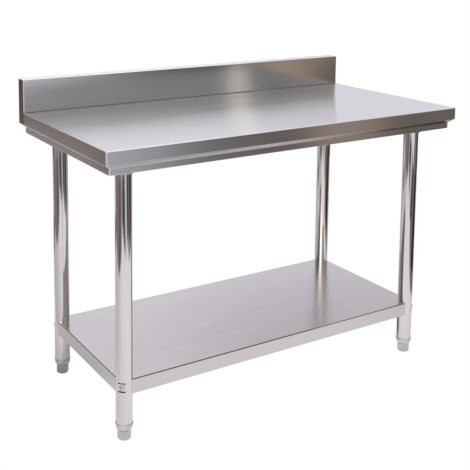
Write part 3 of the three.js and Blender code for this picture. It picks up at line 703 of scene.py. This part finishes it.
def leg_mesh(name):
    """Tube with two slits and the flat pressed between them, drawn round Z with the seat facing the outward diagonal."""
    face = math.radians(225)
    edge = math.asin(SLIT_W / LEG_R)
    patch = 4.4
    # columns, as angles from the seat's middle
    half = [0.0, math.asin(1.6 / LEG_R), math.asin(3.0 / LEG_R), math.asin(patch / LEG_R)]
    for k in range(1, 8):
        half.append(half[3] + (edge - half[3]) * k / 7)
    step = math.radians(3.75)
    back_edge = math.pi - math.asin(patch / LEG_R)
    m = int((back_edge - edge) / step)
    half += [edge + (back_edge - edge) * k / m for k in range(1, m + 1)]
    half += [math.pi - math.asin(3.0 / LEG_R), math.pi - math.asin(1.6 / LEG_R)]
    cols = [-a for a in reversed(half[1:])] + half + [math.pi]
    nc = len(cols)
    z0, z1 = LEG_LO[2], LEG_HI[2]
    b = BOLT_Z
    rows = [(z0, 0.5), (z0 + 0.15, 0.15), (z0 + 0.5, 0.0), (z0 + 3, 0), (z0 + 40, 0), (b - 24, 0), (b - 16, 0)]
    rows += [(b - SEAT_HALF - SLIT, 0), (b - SEAT_HALF - SLIT + 0.6, 0), (b - SEAT_HALF - 0.6, 0), (b - SEAT_HALF, 0)]
    rows += [(b - SEAT_HALF + 0.5, 0), (b - 7, 0), (b - patch, 0), (b - 3, 0), (b - 1.6, 0), (b, 0), (b + 1.6, 0), (b + 3, 0), (b + patch, 0), (b + 7, 0), (b + SEAT_HALF - 0.5, 0)]
    rows += [(b + SEAT_HALF, 0), (b + SEAT_HALF + 0.6, 0), (b + SEAT_HALF + SLIT_TOP - 0.6, 0), (b + SEAT_HALF + SLIT_TOP, 0), (b + 16, 0), (b + 24, 0)]
    zz = b + 24
    while zz < z1 - 60:
        zz += 40
        rows.append((zz, 0))
    rows += [(z1 - 0.5, 0), (z1, 0.4)]
    nr = len(rows)

    def radius(a, z, skin):
        base = LEG_R - skin
        if abs(z - b) <= SEAT_HALF + 1e-6 and abs(a) < math.radians(60):
            flat = (SEAT_OUT - skin) / math.cos(a)
            # the press leaves a soft shoulder where the flat runs out into the tube
            k = 0.35
            return -k * math.log(math.exp(-flat / k) + math.exp(-base / k)) if abs(a) < edge else base
        return base

    bm = bmesh.new()
    grid = {}
    for skin_i, skin in enumerate((0.0, LEG_WALL)):
        for r, (z, cut) in enumerate(rows):
            for c, a in enumerate(cols):
                rad = radius(a, z, skin) - (cut if skin_i == 0 else 0)
                grid[skin_i, r, c] = bm.verts.new((rad * math.cos(a + face), rad * math.sin(a + face), z))
    edge_i = [i for i, a in enumerate(cols) if abs(abs(a) - edge) < 1e-9]
    e0, e1 = min(edge_i), max(edge_i)
    mid = cols.index(0.0)
    p0, p1 = mid - 3, mid + 3

    def row_of(z):
        return min(range(nr), key=lambda i: abs(rows[i][0] - z))

    slits = [(row_of(b - SEAT_HALF - SLIT), row_of(b - SEAT_HALF)), (row_of(b + SEAT_HALF), row_of(b + SEAT_HALF + SLIT_TOP))]
    pr0, pr1 = row_of(b - patch), row_of(b + patch)
    back0, back1 = nc - 4, 2       # columns either side of the far side's hole

    def missing(r, c):
        for r0, r1 in slits:
            if r0 <= r < r1 and e0 <= c < e1:
                return True
        if pr0 <= r < pr1 and (p0 <= c < p1 or c >= back0 or c < back1):
            return True
        return False

    for skin_i in (0, 1):
        for r in range(nr - 1):
            for c in range(nc):
                if missing(r, c):
                    continue
                d = (c + 1) % nc
                q = [grid[skin_i, r, c], grid[skin_i, r, d], grid[skin_i, r + 1, d], grid[skin_i, r + 1, c]]
                f = bm.faces.new(q if skin_i == 0 else q[::-1])
                # the inner skin takes the near-black bore colour, painted shade inside the tube
                f.material_index = skin_i
    for c in range(nc):
        d = (c + 1) % nc
        bm.faces.new([grid[0, 0, d], grid[0, 0, c], grid[1, 0, c], grid[1, 0, d]])
        bm.faces.new([grid[0, nr - 1, c], grid[0, nr - 1, d], grid[1, nr - 1, d], grid[1, nr - 1, c]])
    # slit walls, in the near-black bore colour: painted shade in the slits
    for r0, r1 in slits:
        loop = [(r0, c) for c in range(e0, e1)] + [(r, e1) for r in range(r0, r1)] + [(r1, c) for c in range(e1, e0, -1)] + [(r, e0) for r in range(r1, r0, -1)]
        for k in range(len(loop)):
            u, v = loop[k], loop[(k + 1) % len(loop)]
            f = bm.faces.new([grid[0, u[0], u[1]], grid[1, u[0], u[1]], grid[1, v[0], v[1]], grid[0, v[0], v[1]]])
            f.material_index = 1
    # bolt holes, near side and far side
    for centre, c_run in ((0.0, list(range(p0, p1 + 1))), (math.pi, list(range(back0, nc)) + list(range(0, back1 + 1)))):
        loop = [(pr0, c) for c in c_run[:-1]] + [(r, c_run[-1]) for r in range(pr0, pr1)] + [(pr1, c) for c in c_run[:0:-1]] + [(r, c_run[0]) for r in range(pr1, pr0, -1)]
        rims = []
        for skin_i, skin in enumerate((0.0, LEG_WALL)):
            rim = []
            for r, c in loop:
                a = cols[c] - centre
                s = LEG_R * math.sin(a)
                h = rows[r][0] - b
                g = math.atan2(h, s)
                sx, hz = BORE * math.cos(g), BORE * math.sin(g)
                out = (SEAT_OUT - skin) if centre == 0.0 else math.sqrt((LEG_R - skin) ** 2 - sx * sx)
                ca, sa = math.cos(face + centre), math.sin(face + centre)
                rim.append(bm.verts.new((out * ca - sx * sa, out * sa + sx * ca, b + hz)))
            rims.append(rim)
            for k in range(len(loop)):
                l = (k + 1) % len(loop)
                q = [grid[skin_i, loop[k][0], loop[k][1]], grid[skin_i, loop[l][0], loop[l][1]], rim[l], rim[k]]
                bm.faces.new(q if skin_i == 0 else q[::-1])
        for k in range(len(loop)):
            l = (k + 1) % len(loop)
            bm.faces.new([rims[0][k], rims[0][l], rims[1][l], rims[1][k]])
    bmesh.ops.recalc_face_normals(bm, faces=bm.faces)
    me = bpy.data.meshes.new(name)
    bm.to_mesh(me)
    bm.free()
    for v in me.vertices:
        v.co *= MM
    me.materials.append(M_TUBE)
    me.materials.append(M_BORE_SHADE)
    ob = bpy.data.objects.new(name, me)
    SCENE.collection.objects.link(ob)
    return ob


for name, x, y, turn in CORNERS:
    leg = leg_mesh("leg_polished_tube_" + name)
    finish_mesh(leg, 35)
    place(leg, ROOT, "tube_steel", "leg_tube_" + name, at=(x, y, turn))

# ------------------------------------------------------------------ leg sockets and set screws
SK_LO, SK_HI = span("leg_socket_front_left")


def along_diagonal(ob, z):
    """Turns a mesh built along +Z so that it points out along the front-left diagonal at height z."""
    out = Vector((-1, -1, 0)).normalized()
    up = Vector((0, 0, 1))
    side = up.cross(out)
    m = Matrix((side, up, side.cross(up))).transposed().to_4x4()
    m.translation = (0, 0, z * MM)
    ob.data.transform(m)


for name, x, y, turn in CORNERS:
    z_top, z_low = SK_HI[2], SK_LO[2]
    half = (SK_HI[0] - SK_LO[0]) / 2
    zp = z_top - 4
    # flange plate with rounded corners, and the sleeve below it
    plate_rows = [(0.5, z_top), (0.0, z_top - 0.5), (0.0, zp + 0.5), (0.5, zp)]
    verts, faces = [], []
    cnt = 4 * 7
    for d, z in plate_rows:
        verts += [(px, py, z) for px, py in rounded_ring(half - d, half - d, (9, 9, 9, 9), 6)]
    for k in range(3):
        for i in range(cnt):
            j = (i + 1) % cnt
            faces.append((k * cnt + i, (k + 1) * cnt + i, (k + 1) * cnt + j, k * cnt + j))
    faces += [tuple(range(cnt)), tuple(3 * cnt + i for i in reversed(range(cnt)))]
    flange = mesh_object("leg_socket_flange_" + name, verts, faces, M_SOCKET)
    sleeve = lathe("sleeve", fillet([(22.9, zp + 0.0), (22.9, z_low), (27, z_low), (27, zp - 0.001), (31, zp + 1.5)], {1: 0.6, 2: 1.0, 3: 3.0}, 5) + [(31, zp + 2.0), (22.9, zp + 2.0)], 64, M_SOCKET, closed=True)
    boolean(flange, sleeve, "UNION")
    hole = lathe("hole", [(0, 10), (4.1, 10), (4.1, 40), (0, 40)], 32, M_SOCKET)
    along_diagonal(hole, z_low + 15)
    m = Matrix.Rotation(math.pi, 4, "Z")
    hole.data.transform(m)
    boolean(flange, hole, "DIFFERENCE")
    finish_mesh(flange, 35)
    place(flange, ROOT, "socket_metal", "leg_socket_" + name, at=(x, y, turn))

    # set screw: drawn along +Z from its tip out to its driven end, then turned inboard
    screw = lathe("leg_socket_grub_screw_" + name, fillet([(0, 22.65), (3.0, 22.65), (4.0, 23.6), (4.0, 30.0), (0, 30.0)], {3: 0.5}, 4), 32, M_SCREW)
    hexagon = [(2.3 * math.cos(k * math.pi / 3), 2.3 * math.sin(k * math.pi / 3)) for k in range(6)]
    boolean(screw, prism_z("hex", hexagon, 26.0, 32.0, M_SCREW), "DIFFERENCE")
    along_diagonal(screw, z_low + 15)
    screw.data.transform(m)
    finish_mesh(screw, 35)
    place(screw, ROOT, "screw_steel", "leg_socket_set_screw_" + name, at=(x, y, turn))

# ------------------------------------------------------------------ shelf bolts
for name, x, y, turn in CORNERS:
    base = SEAT_OUT + 0.1
    dome = []
    for k in range(9):
        g = math.pi / 2 * k / 8
        dome.append((4.0 + 3.0 * math.cos(g) ** 0.8 if k < 8 else 4.0, base + 2.3 + 2.1 * math.sin(g)))
    top = [(3.2, base + 4.75), (2.0, base + 5.1), (0, base + 5.2)]
    prof = [(0, -37), (2.4, -37), (3.0, -36.2), (3.0, base), (6.7, base), (7.0, base + 0.4)] + dome + top
    bolt = lathe("shelf_pan_head_bolt_" + name, prof, 48, M_FASTENER)
    # cross recess, tapering towards its floor
    for k in range(2):
        w0, w1, l0, l1 = 0.55, 0.95, 1.6, 3.6
        q = []
        for (w, l), z in (((w0, l0), base + 2.4), ((w1, l1), base + 6.0)):
            ring = [(-l, -w), (l, -w), (l, w), (-l, w)]
            if k:
                ring = [(-b_, a_) for a_, b_ in ring]
            q += [(a_, b_, z) for a_, b_ in ring]
        rec = mesh_object("recess", q, [(3, 2, 1, 0), (4, 5, 6, 7), (0, 1, 5, 4), (1, 2, 6, 5), (2, 3, 7, 6), (3, 0, 4, 7)], M_FASTENER)
        fix_normals(rec)
        boolean(bolt, rec, "DIFFERENCE")
    spin = {"front_left": 0.35, "front_right": 1.1, "rear_right": 0.7, "rear_left": 0.05}[name]
    bolt.data.transform(Matrix.Rotation(spin, 4, "Z"))
    along_diagonal(bolt, BOLT_Z)
    finish_mesh(bolt, 30)
    place(bolt, ROOT, "fastener_steel", "shelf_bolt_" + name, at=(x, y, turn))

# ------------------------------------------------------------------ screw feet
FT_LO, FT_HI = span("foot_front_left")
Z_F0, Z_F1 = FT_LO[2], FT_HI[2]
FOOT_TURN = {"front_left": 33, "front_right": 8, "rear_right": 20, "rear_left": 47}
PITCH = 1.75


def hex_radius(g, corner=18.5, soft=0.9):
    """Distance to a hexagon with slightly rounded corners, at angle g."""
    flat = corner * math.cos(math.pi / 6)
    a = (g + math.pi / 6) % (math.pi / 3) - math.pi / 6
    r = flat / math.cos(math.pi / 6 - abs(a))
    return min(r, corner - soft * 0.35 * math.exp(-(abs(a) / 0.045) ** 2))


def foot_mesh(name):
    """Hexagon with turned chamfers top and bottom, a stem bore and a pad recess, as one closed skin."""
    n = 144
    verts, faces = [], []

    def ring(f):
        base = len(verts)
        for i in range(n):
            g = 2 * math.pi * i / n
            r, z = f(g)
            verts.append((r * math.cos(g), r * math.sin(g), z))
        return list(range(base, base + n))

    z0, z1 = Z_F0, Z_F1
    # chamfer cones: bottom from radius 15.6 at z0 to 18.7 at 3.2, top from 18.7 at z1-2 to 15.8 at z1
    lo = lambda r: z0 + max(0.0, (r - 15.6)) / 3.1 * (3.2 - z0)
    up = lambda r: z1 - max(0.0, (r - 15.8)) / 2.9 * 2.0
    rings = [ring(lambda g: (6.06, z1 - 0.5)), ring(lambda g: (6.5, z1)), ring(lambda g: (11, z1)), ring(lambda g: (15.3, z1)), ring(lambda g: (15.9, up(15.9)))]
    for k in (1, 2, 3):
        rings.append(ring(lambda g, k=k: (15.9 + (hex_radius(g) - 0.12 - 15.9) * k / 3, up(15.9 + (hex_radius(g) - 0.12 - 15.9) * k / 3))))
    rings.append(ring(lambda g: (hex_radius(g), up(hex_radius(g)) - 0.25)))
    rings.append(ring(lambda g: (hex_radius(g), up(hex_radius(g)) - 1.2)))
    rings.append(ring(lambda g: (hex_radius(g), (z0 + z1) / 2)))
    rings.append(ring(lambda g: (hex_radius(g), lo(hex_radius(g)) + 1.2)))
    rings.append(ring(lambda g: (hex_radius(g), lo(hex_radius(g)) + 0.25)))
    for k in (3, 2, 1):
        rings.append(ring(lambda g, k=k: (15.7 + (hex_radius(g) - 0.12 - 15.7) * k / 3, lo(15.7 + (hex_radius(g) - 0.12 - 15.7) * k / 3))))
    rings += [ring(lambda g: (15.0, z0)), ring(lambda g: (13.5, z0)), ring(lambda g: (13.3, z0 + 0.3)), ring(lambda g: (13.3, 2.8)),
              ring(lambda g: (3.2, 2.8)), ring(lambda g: (3.2, 9.4)), ring(lambda g: (6.06, 10.0))]
    rings.append(rings[0])
    for a, b in zip(rings, rings[1:]):
        for i in range(n):
            j = (i + 1) % n
            faces.append((a[i], b[i], b[j], a[j]))
    ob = mesh_object(name, verts, faces, M_FOOT)
    fix_normals(ob)
    return ob


def stem_mesh(name, z0, z1):
    """M12 stem with its real right-hand helical thread, run out at both ends."""
    n, per = 40, 10
    dz = PITCH / per
    rows = int(round((z1 - z0) / dz))
    major, minor = 6.0, 4.92
    verts, faces = [], []
    for r in range(rows + 1):
        z = z0 + (z1 - z0) * r / rows
        for i in range(n):
            g = 2 * math.pi * i / n
            ph = ((z / PITCH) - g / (2 * math.pi)) % 1.0
            tri = abs(ph - 0.5) * 2                       # 1 at the crest
            d = min(1.0, max(0.0, (tri - 0.10) / 0.78))
            rad = minor + (major - minor) * d
            fade = min(1.0, (z1 - z) / 2.0, 1.0)
            rad = min(rad, major - 1.0 + min(1.0, (z1 - z) / 1.0), major - 0.6 + 0.6 * min(1.0, (z - z0) / 0.6))
            verts.append((rad * math.cos(g), rad * math.sin(g), z))
    for r in range(rows):
        for i in range(n):
            j = (i + 1) % n
            faces.append((r * n + i, r * n + j, (r + 1) * n + j, (r + 1) * n + i))
    faces.append(tuple(reversed(range(n))))
    faces.append(tuple(rows * n + i for i in range(n)))
    return mesh_object(name, verts, faces, M_STEM)


ST_LO, ST_HI = span("foot_stem_front_left")
IN_LO, IN_HI = span("foot_insert_front_left")
PD_LO, PD_HI = span("foot_pad_front_left")
for name, x, y, turn in CORNERS:
    a = math.radians(FOOT_TURN[name])
    foot = foot_mesh("screw_foot_hexagon_" + name)
    finish_mesh(foot, 26)
    place(foot, "screw_foot_" + name, "foot_steel", "foot_" + name, at=(x, y, a))

    stem = stem_mesh("screw_foot_thread_" + name, ST_LO[2], ST_HI[2])
    finish_mesh(stem, 50, weighted=False)
    place(stem, "screw_foot_" + name, "foot_steel", "foot_stem_" + name, at=(x, y, a))

    zt = LEG_LO[2]
    prof = [(6.1, IN_LO[2] + 0.6), (6.7, IN_LO[2])] + fillet([(6.7, IN_LO[2]), (17.6, IN_LO[2]), (22.4, 33.6), (23.2, 43.0), (24.2, 43.4), (24.2, zt - 0.2), (20.9, zt - 0.2), (20.7, zt + 0.4)],
                                                              {1: 0.6, 2: 1.2, 3: 0.25, 4: 0.35, 5: 0.5}, 5)[1:]
    prof += [(20.7, IN_HI[2] - 2), (19.5, IN_HI[2]), (6.8, IN_HI[2]), (6.1, IN_HI[2] - 0.7)]
    ins = lathe("leg_foot_insert_" + name, prof, 72, M_INSERT, closed=True)
    finish_mesh(ins, 26)
    place(ins, ROOT, "foot_steel", "foot_insert_" + name, at=(x, y, 0))

    prof = fillet([(0, 0), (12.3, 0), (13.1, 0.8), (13.1, 2.5), (3, 2.5), (3, 8), (2.4, 8.6), (0, 8.6)], {1: 0.6, 2: 0.5, 3: 0.4, 4: 0.3}, 4)
    pad = lathe("foot_swivel_pad_" + name, prof, 48, M_NYLON)
    finish_mesh(pad, 30)
    place(pad, "glide_" + name, "pad_nylon", "foot_pad_" + name, at=(x, y, 0))

# ------------------------------------------------------------------ carried-over CAD nodes
def carry(node, mat, bevel=0.0):
    ob = NODES[node]
    ob.data.materials.clear()
    ob.data.materials.append(mat)
    for s in ob.material_slots:
        s.material = mat
    if bevel:
        m = ob.modifiers.new("edge", "BEVEL")
        m.width = bevel * MM
        m.segments = 2
        m.limit_method = "ANGLE"
        m.angle_limit = math.radians(35)
        m.harden_normals = False


carry("worktop_core_board", M_BOARD, 0.4)
for node in ("top_channel_front", "top_channel_rear", "top_cross_channel_left", "top_cross_channel_centre", "top_cross_channel_right"):
    carry(node, M_CHANNEL, 0.35)
for node in ("undershelf_channel_front", "undershelf_channel_rear"):
    carry(node, M_CHANNEL, 0.3)
for name, x, y, turn in CORNERS:
    carry("shelf_corner_collar_" + name, M_SOCKET, 0.25)
    carry("shelf_bolt_nut_" + name, M_FASTENER, 0.3)

# ------------------------------------------------------------------ floor, surroundings and light
def azimuth(t, v):
    """Compass angle of a vector as 0..1: 0.5 is the front (-Y), 0.75 the right (+X), 0 and 1 the rear."""
    x, y, _ = t.sep(v)
    a = t.math("ARCTAN2", x, t.math("MULTIPLY", y, -1.0))
    return t.math("MULTIPLY_ADD", a, 1 / (2 * math.pi), 0.5)


def az(deg):
    return deg / 360 + 0.5


def panels(t, angle, base, rows):
    """Lays broad soft-edged panels over a plain colour. rows are (from, to, softness, sRGB colour, gain), in degrees."""
    col = base
    for lo, hi, soft, colour, gain in rows:
        m = t.math("MULTIPLY", t.ramp01(angle, az(lo - soft), az(lo + soft)), t.ramp01(angle, az(hi + soft), az(hi - soft)))
        col = t.mix(m, col, tuple(c * gain for c in lin(*colour)))
    return col


def fade(t, angle, lo, hi, a, b):
    """Plain colour that runs from a to b between two angles."""
    return t.mix(t.ramp01(angle, az(lo), az(hi)), a if isinstance(a, bpy.types.NodeSocket) else lin(*a), lin(*b))


# the room, kept plain: a pale backdrop behind the table, a large softbox to the front left, a bright wall to the
# front that falls off into a dim corner on the right, and a dim room beyond the sheet the table stands on
DIM = (100, 92, 88)
# painted floor glow seen in reflections: lighter in front of the table, darker behind it
SHEET_FRONT, SHEET_REAR = (244, 239, 239), (203, 199, 201)
FLOOR_BEYOND = [
    (-140, -84, 6, (132, 119, 114), 1), (-62, -50, 3, (170, 170, 174), 1), (-47, -22, 4, (70, 74, 84), 1), (-18, 0, 3, (215, 215, 224), 1),
    (4, 24, 3, (78, 70, 74), 1), (27, 42, 3, (122, 108, 102), 1), (46, 82, 4, (46, 41, 40), 1), (87, 135, 3, (185, 180, 177), 1),
]
FLOOR_FAR = [(-165, -126, 5, (116, 86, 72), 1), (37, 45, 2.5, (172, 153, 135), 1), (47, 53, 2, (122, 114, 100), 1)]
WALL_LOW = [(34.1, 35.2, 0.3, (240, 230, 210), 1.9), (36, 38, 0.4, (50, 47, 45), 1), (39, 60, 2, (126, 118, 104), 1), (124, 156, 6, (250, 249, 255), 1.04), (142, 200, 6, (251, 250, 255), 1.3), (-200, -164, 6, (240, 238, 242), 1)]
WALL_HIGH = [(-122, -72, 5, (104, 97, 92), 1), (-64, -31, 4, (255, 246, 230), 2.7), (120, 160, 5, (184, 179, 183), 1), (148, 200, 6, (218, 213, 218), 1), (-200, -164, 6, (215, 212, 214), 1)]


world = bpy.data.worlds.new("studio")
SCENE.world = world
world.use_nodes = True
world.node_tree.nodes.clear()
t = Tree(world.node_tree)
direction = t.n("ShaderNodeTexCoord").outputs["Generated"]
a01 = azimuth(t, direction)
dz = t.sep(direction)[2]
low = panels(t, a01, fade(t, a01, 14, 32, fade(t, a01, -75, -20, (150, 144, 140), (240, 240, 250)), (60, 58, 60)), FLOOR_FAR)
wall = panels(t, a01, fade(t, a01, 7, 25, fade(t, a01, -75, -20, (150, 144, 140), (240, 240, 243)), (68, 65, 64)), WALL_LOW)
upper = panels(t, a01, lin(160, 154, 150), WALL_HIGH)
sky = t.mix(t.ramp01(dz, 0.0, 0.05), low, wall)
behind = t.math("MULTIPLY", t.ramp01(a01, az(118), az(128)), 0.10)
sky = t.mix(t.ramp01(t.math("SUBTRACT", dz, behind), 0.20, 0.30), sky, upper)
sky = t.mix(t.ramp01(dz, 0.42, 0.60), sky, tuple(c * 1.15 for c in lin(252, 251, 255)))
path = t.n("ShaderNodeLightPath")
bg_env = t.n("ShaderNodeBackground")
t.put(bg_env.inputs[0], sky)
bg_env.inputs[1].default_value = 1.0
bg_cam = t.n("ShaderNodeBackground")
t.put(bg_cam.inputs[0], (1.0, 1.0, 1.0))
mixs = t.n("ShaderNodeMixShader")
t.put(mixs.inputs[0], path.outputs["Is Camera Ray"])
t.put(mixs.inputs[1], bg_env.outputs[0])
t.put(mixs.inputs[2], bg_cam.outputs[0])
out = t.n("ShaderNodeOutputWorld")
t.put(out.inputs[0], mixs.outputs[0])

# floor: a fine radial grid that glows instead of taking light: plain white to the camera, while in reflections its glow
# is painted by position, lighter in front of the table and darker behind, with painted shade patches
verts, faces = [(0, 0, 0)], []
radii = [0.3, 0.6, 0.9, 1.2, 1.6, 2.2, 3, 4.5, 7, 12]
for r in radii:
    verts += [(r * 1000 * math.cos(2 * math.pi * i / 64), r * 1000 * math.sin(2 * math.pi * i / 64), 0) for i in range(64)]
for i in range(64):
    j = (i + 1) % 64
    faces.append((0, 1 + i, 1 + j))
    for k in range(len(radii) - 1):
        faces.append((1 + k * 64 + i, 1 + (k + 1) * 64 + i, 1 + (k + 1) * 64 + j, 1 + k * 64 + j))
fm = bpy.data.materials.new("floor_pale")
fm.use_nodes = True
fm.node_tree.nodes.clear()
t = Tree(fm.node_tree)
pos = t.n("ShaderNodeNewGeometry").outputs["Position"]
px, py, _ = t.sep(pos)
a01 = azimuth(t, pos)
rho = t.vmath("LENGTH", pos)
toward = t.math("MULTIPLY_ADD", t.math("DIVIDE", py, t.math("MAXIMUM", rho, 0.001)), -0.5, 0.5)
near = t.mix(t.ramp01(toward, 0.30, 0.95), lin(*SHEET_REAR), lin(*SHEET_FRONT))
# painted shade: the sheet behind the table's right half is darker
near = t.mix(t.math("MULTIPLY", t.ramp01(px, 0.25, 0.75), t.ramp01(py, 0.5, 1.1)), near, lin(160, 157, 159))
# painted light: beside the table's left end the floor is lighter than in front
left_end_light = t.math("MULTIPLY", t.math("MULTIPLY", t.ramp01(px, -0.92, -0.74), t.ramp01(px, -0.53, -0.60)), t.math("MULTIPLY", t.ramp01(py, -0.12, 0.04), t.ramp01(py, 0.85, 0.62)))
near = t.mix(left_end_light, near, tuple(c * 1.14 for c in lin(*SHEET_FRONT)))
# the sheet reaches 1.7 m to the left and front and 2.1 m behind, and ends sooner on the right, where its edge is soft
wob = t.math("MULTIPLY_ADD", t.noise(pos, 0.9, 2.0), 0.10, -0.05)
pxw, pyw = t.math("ADD", px, wob), t.math("ADD", py, wob)
right_at = t.ramp01(py, -0.25, -1.6, out=(0.96, 0.28))
e = t.math("MULTIPLY", t.ramp01(pxw, -1.76, -1.66), t.ramp01(pyw, -1.72, -1.54))
e = t.math("MULTIPLY", e, t.ramp01(pyw, 3.0, 2.75))
over = t.math("SUBTRACT", pxw, right_at)
e = t.math("MULTIPLY", e, t.math("MULTIPLY_ADD", t.ramp01(over, 0.10, -0.03), 0.80, t.math("MULTIPLY", t.ramp01(over, 0.36, 0.22), 0.20)))
# its rear left corner is cut away
cut_at = t.ramp01(px, -1.2, -0.5, out=(0.98, 1.30))
e = t.math("MULTIPLY", e, t.math("SUBTRACT", 1.0, t.math("MULTIPLY", t.ramp01(pxw, -0.45, -0.60), t.ramp01(t.math("SUBTRACT", pyw, cut_at), 0.0, 0.16))))
# a pale board lies beyond that corner
board = t.math("MULTIPLY", t.math("MULTIPLY", t.ramp01(pxw, -1.50, -1.42), t.ramp01(pxw, -0.98, -1.06)), t.math("MULTIPLY", t.ramp01(pyw, 1.52, 1.62), t.ramp01(pyw, 3.1, 2.9)))
front = fade(t, a01, 14, 32, fade(t, a01, -75, -20, (150, 144, 140), (240, 240, 250)), (60, 58, 60))
front = fade(t, a01, 50, 62, front, (84, 79, 72))
reach = t.math("MULTIPLY_ADD", t.ramp01(a01, az(4), az(11)), 0.35, rho)
far = t.mix(t.ramp01(reach, 3.15, 3.30), panels(t, a01, lin(*DIM), FLOOR_BEYOND), panels(t, a01, front, FLOOR_FAR))
# rear left, far out, it is dark
back_left = t.math("MULTIPLY", t.ramp01(rho, 3.95, 4.35), t.ramp01(px, -1.2, -2.0))
far = t.mix(t.math("MULTIPLY", back_left, t.ramp01(py, 0.5, 1.2)), far, lin(84, 80, 76))
body = t.mix(board, t.mix(e, far, near), tuple(c * 1.2 for c in lin(252, 250, 252)))
# painted shadow of the table: a broad darker patch on the floor under it
under = t.math("MULTIPLY", t.ramp01(t.math("ABSOLUTE", t.math("ADD", px, 0.30)), 0.80, 0.25), t.ramp01(t.math("ABSOLUTE", t.math("SUBTRACT", py, 0.32)), 0.48, 0.12))
body = t.mix(t.math("MULTIPLY", under, 0.55), body, lin(120, 116, 117))
# painted shadow: a small dark spot on the floor between the right legs
beside = t.vmath("LENGTH", t.vmath("SUBTRACT", pos, (0.44, 0.03, 0.0)))
body = t.mix(t.math("MULTIPLY", t.ramp01(beside, 0.19, 0.08), 0.85), body, lin(62, 58, 58))
grainy = t.noise(pos, 60, 3.0)
body = t.mix(t.math("MULTIPLY", grainy, 0.04), body, lin(200, 200, 200))
em = t.n("ShaderNodeEmission")
t.put(em.inputs[0], body)
em.inputs[1].default_value = 1.0
cam_em = t.n("ShaderNodeEmission")
t.put(cam_em.inputs[0], (1.0, 1.0, 1.0))
# seen from below the floor is clear, so the underside of the table can be looked at
under_side = t.n("ShaderNodeNewGeometry").outputs["Backfacing"]
clear = t.n("ShaderNodeMixShader")
t.put(clear.inputs[0], under_side)
t.put(clear.inputs[1], cam_em.outputs[0])
t.put(clear.inputs[2], t.n("ShaderNodeBsdfTransparent").outputs[0])
mixs = t.n("ShaderNodeMixShader")
t.put(mixs.inputs[0], t.n("ShaderNodeLightPath").outputs["Is Camera Ray"])
t.put(mixs.inputs[1], em.outputs[0])
t.put(mixs.inputs[2], clear.outputs[0])
out = t.n("ShaderNodeOutputMaterial")
t.put(out.inputs[0], mixs.outputs[0])
floor = mesh_object("floor", verts, faces, fm)
# it lies at the lowest foot, so a foot that is screwed out stands on it and isn't sunk in it
d = floor.driver_add("location", 2).driver
d.type = "MIN"
for i, name in enumerate(sorted(b for b in frame["bodies"] if b.startswith("glide_"))):
    v = d.variables.new()
    v.name = "foot_%d" % i
    v.type = "TRANSFORMS"
    v.targets[0].id = frame["bodies"][name]
    v.targets[0].transform_type = "LOC_Z"
    v.targets[0].transform_space = "WORLD_SPACE"

# soft overhead light
def area(name, loc, aim, size, power, color=(1, 1, 1)):
    ld = bpy.data.lights.new(name, "AREA")
    ld.shape = "RECTANGLE"
    ld.size, ld.size_y = size
    ld.energy = power
    ld.color = color
    lo = bpy.data.objects.new(name, ld)
    lo.location = loc
    lo.rotation_euler = (Vector(aim) - Vector(loc)).to_track_quat("-Z", "Y").to_euler()
    lo.visible_camera = False
    SCENE.collection.objects.link(lo)
    return lo


area("overhead_soft", (0.3, 0.6, 3.6), (0, 0, 0.6), (3.0, 2.0), 20)

SCENE.view_settings.view_transform = "Standard"
SCENE.view_settings.look = "None"
SCENE.view_settings.exposure = 0.0
SCENE.view_settings.gamma = 1.0

# ------------------------------------------------------------------ camera
CAM_AT = (-1.477825, -2.124760, 1.290312)
cam_data = bpy.data.cameras.new("camera")
cam = bpy.data.objects.new("camera", cam_data)
SCENE.collection.objects.link(cam)
cam_data.sensor_width = 36
cam_data.lens = 859.2013 / 470 * 36
cam.matrix_world = Matrix((
    (0.86351, 0.05672, -0.50112, CAM_AT[0]),
    (-0.50431, 0.10535, -0.85707, CAM_AT[1]),
    (0.00418, 0.99282, 0.11958, CAM_AT[2]),
    (0, 0, 0, 1)))
cam_data.clip_start, cam_data.clip_end = 0.05, 60
# the picture is an off-centre crop, so the lens is shifted; from any other place it is centred
for prop, value in (("shift_x", 0.5 - 174.5318 / 470), ("shift_y", 52.3227 / 470 - 0.5)):
    setattr(cam_data, prop, value)
    d = cam_data.driver_add(prop).driver
    d.type = "SCRIPTED"
    v = d.variables.new()
    v.name = "x"
    v.type = "TRANSFORMS"
    v.targets[0].id = cam
    v.targets[0].transform_type = "LOC_X"
    v.targets[0].transform_space = "WORLD_SPACE"
    d.expression = "%.6f if abs(x + %.6f) < 0.01 else 0.0" % (value, -CAM_AT[0])
SCENE.camera = cam
bpy.context.view_layer.update()
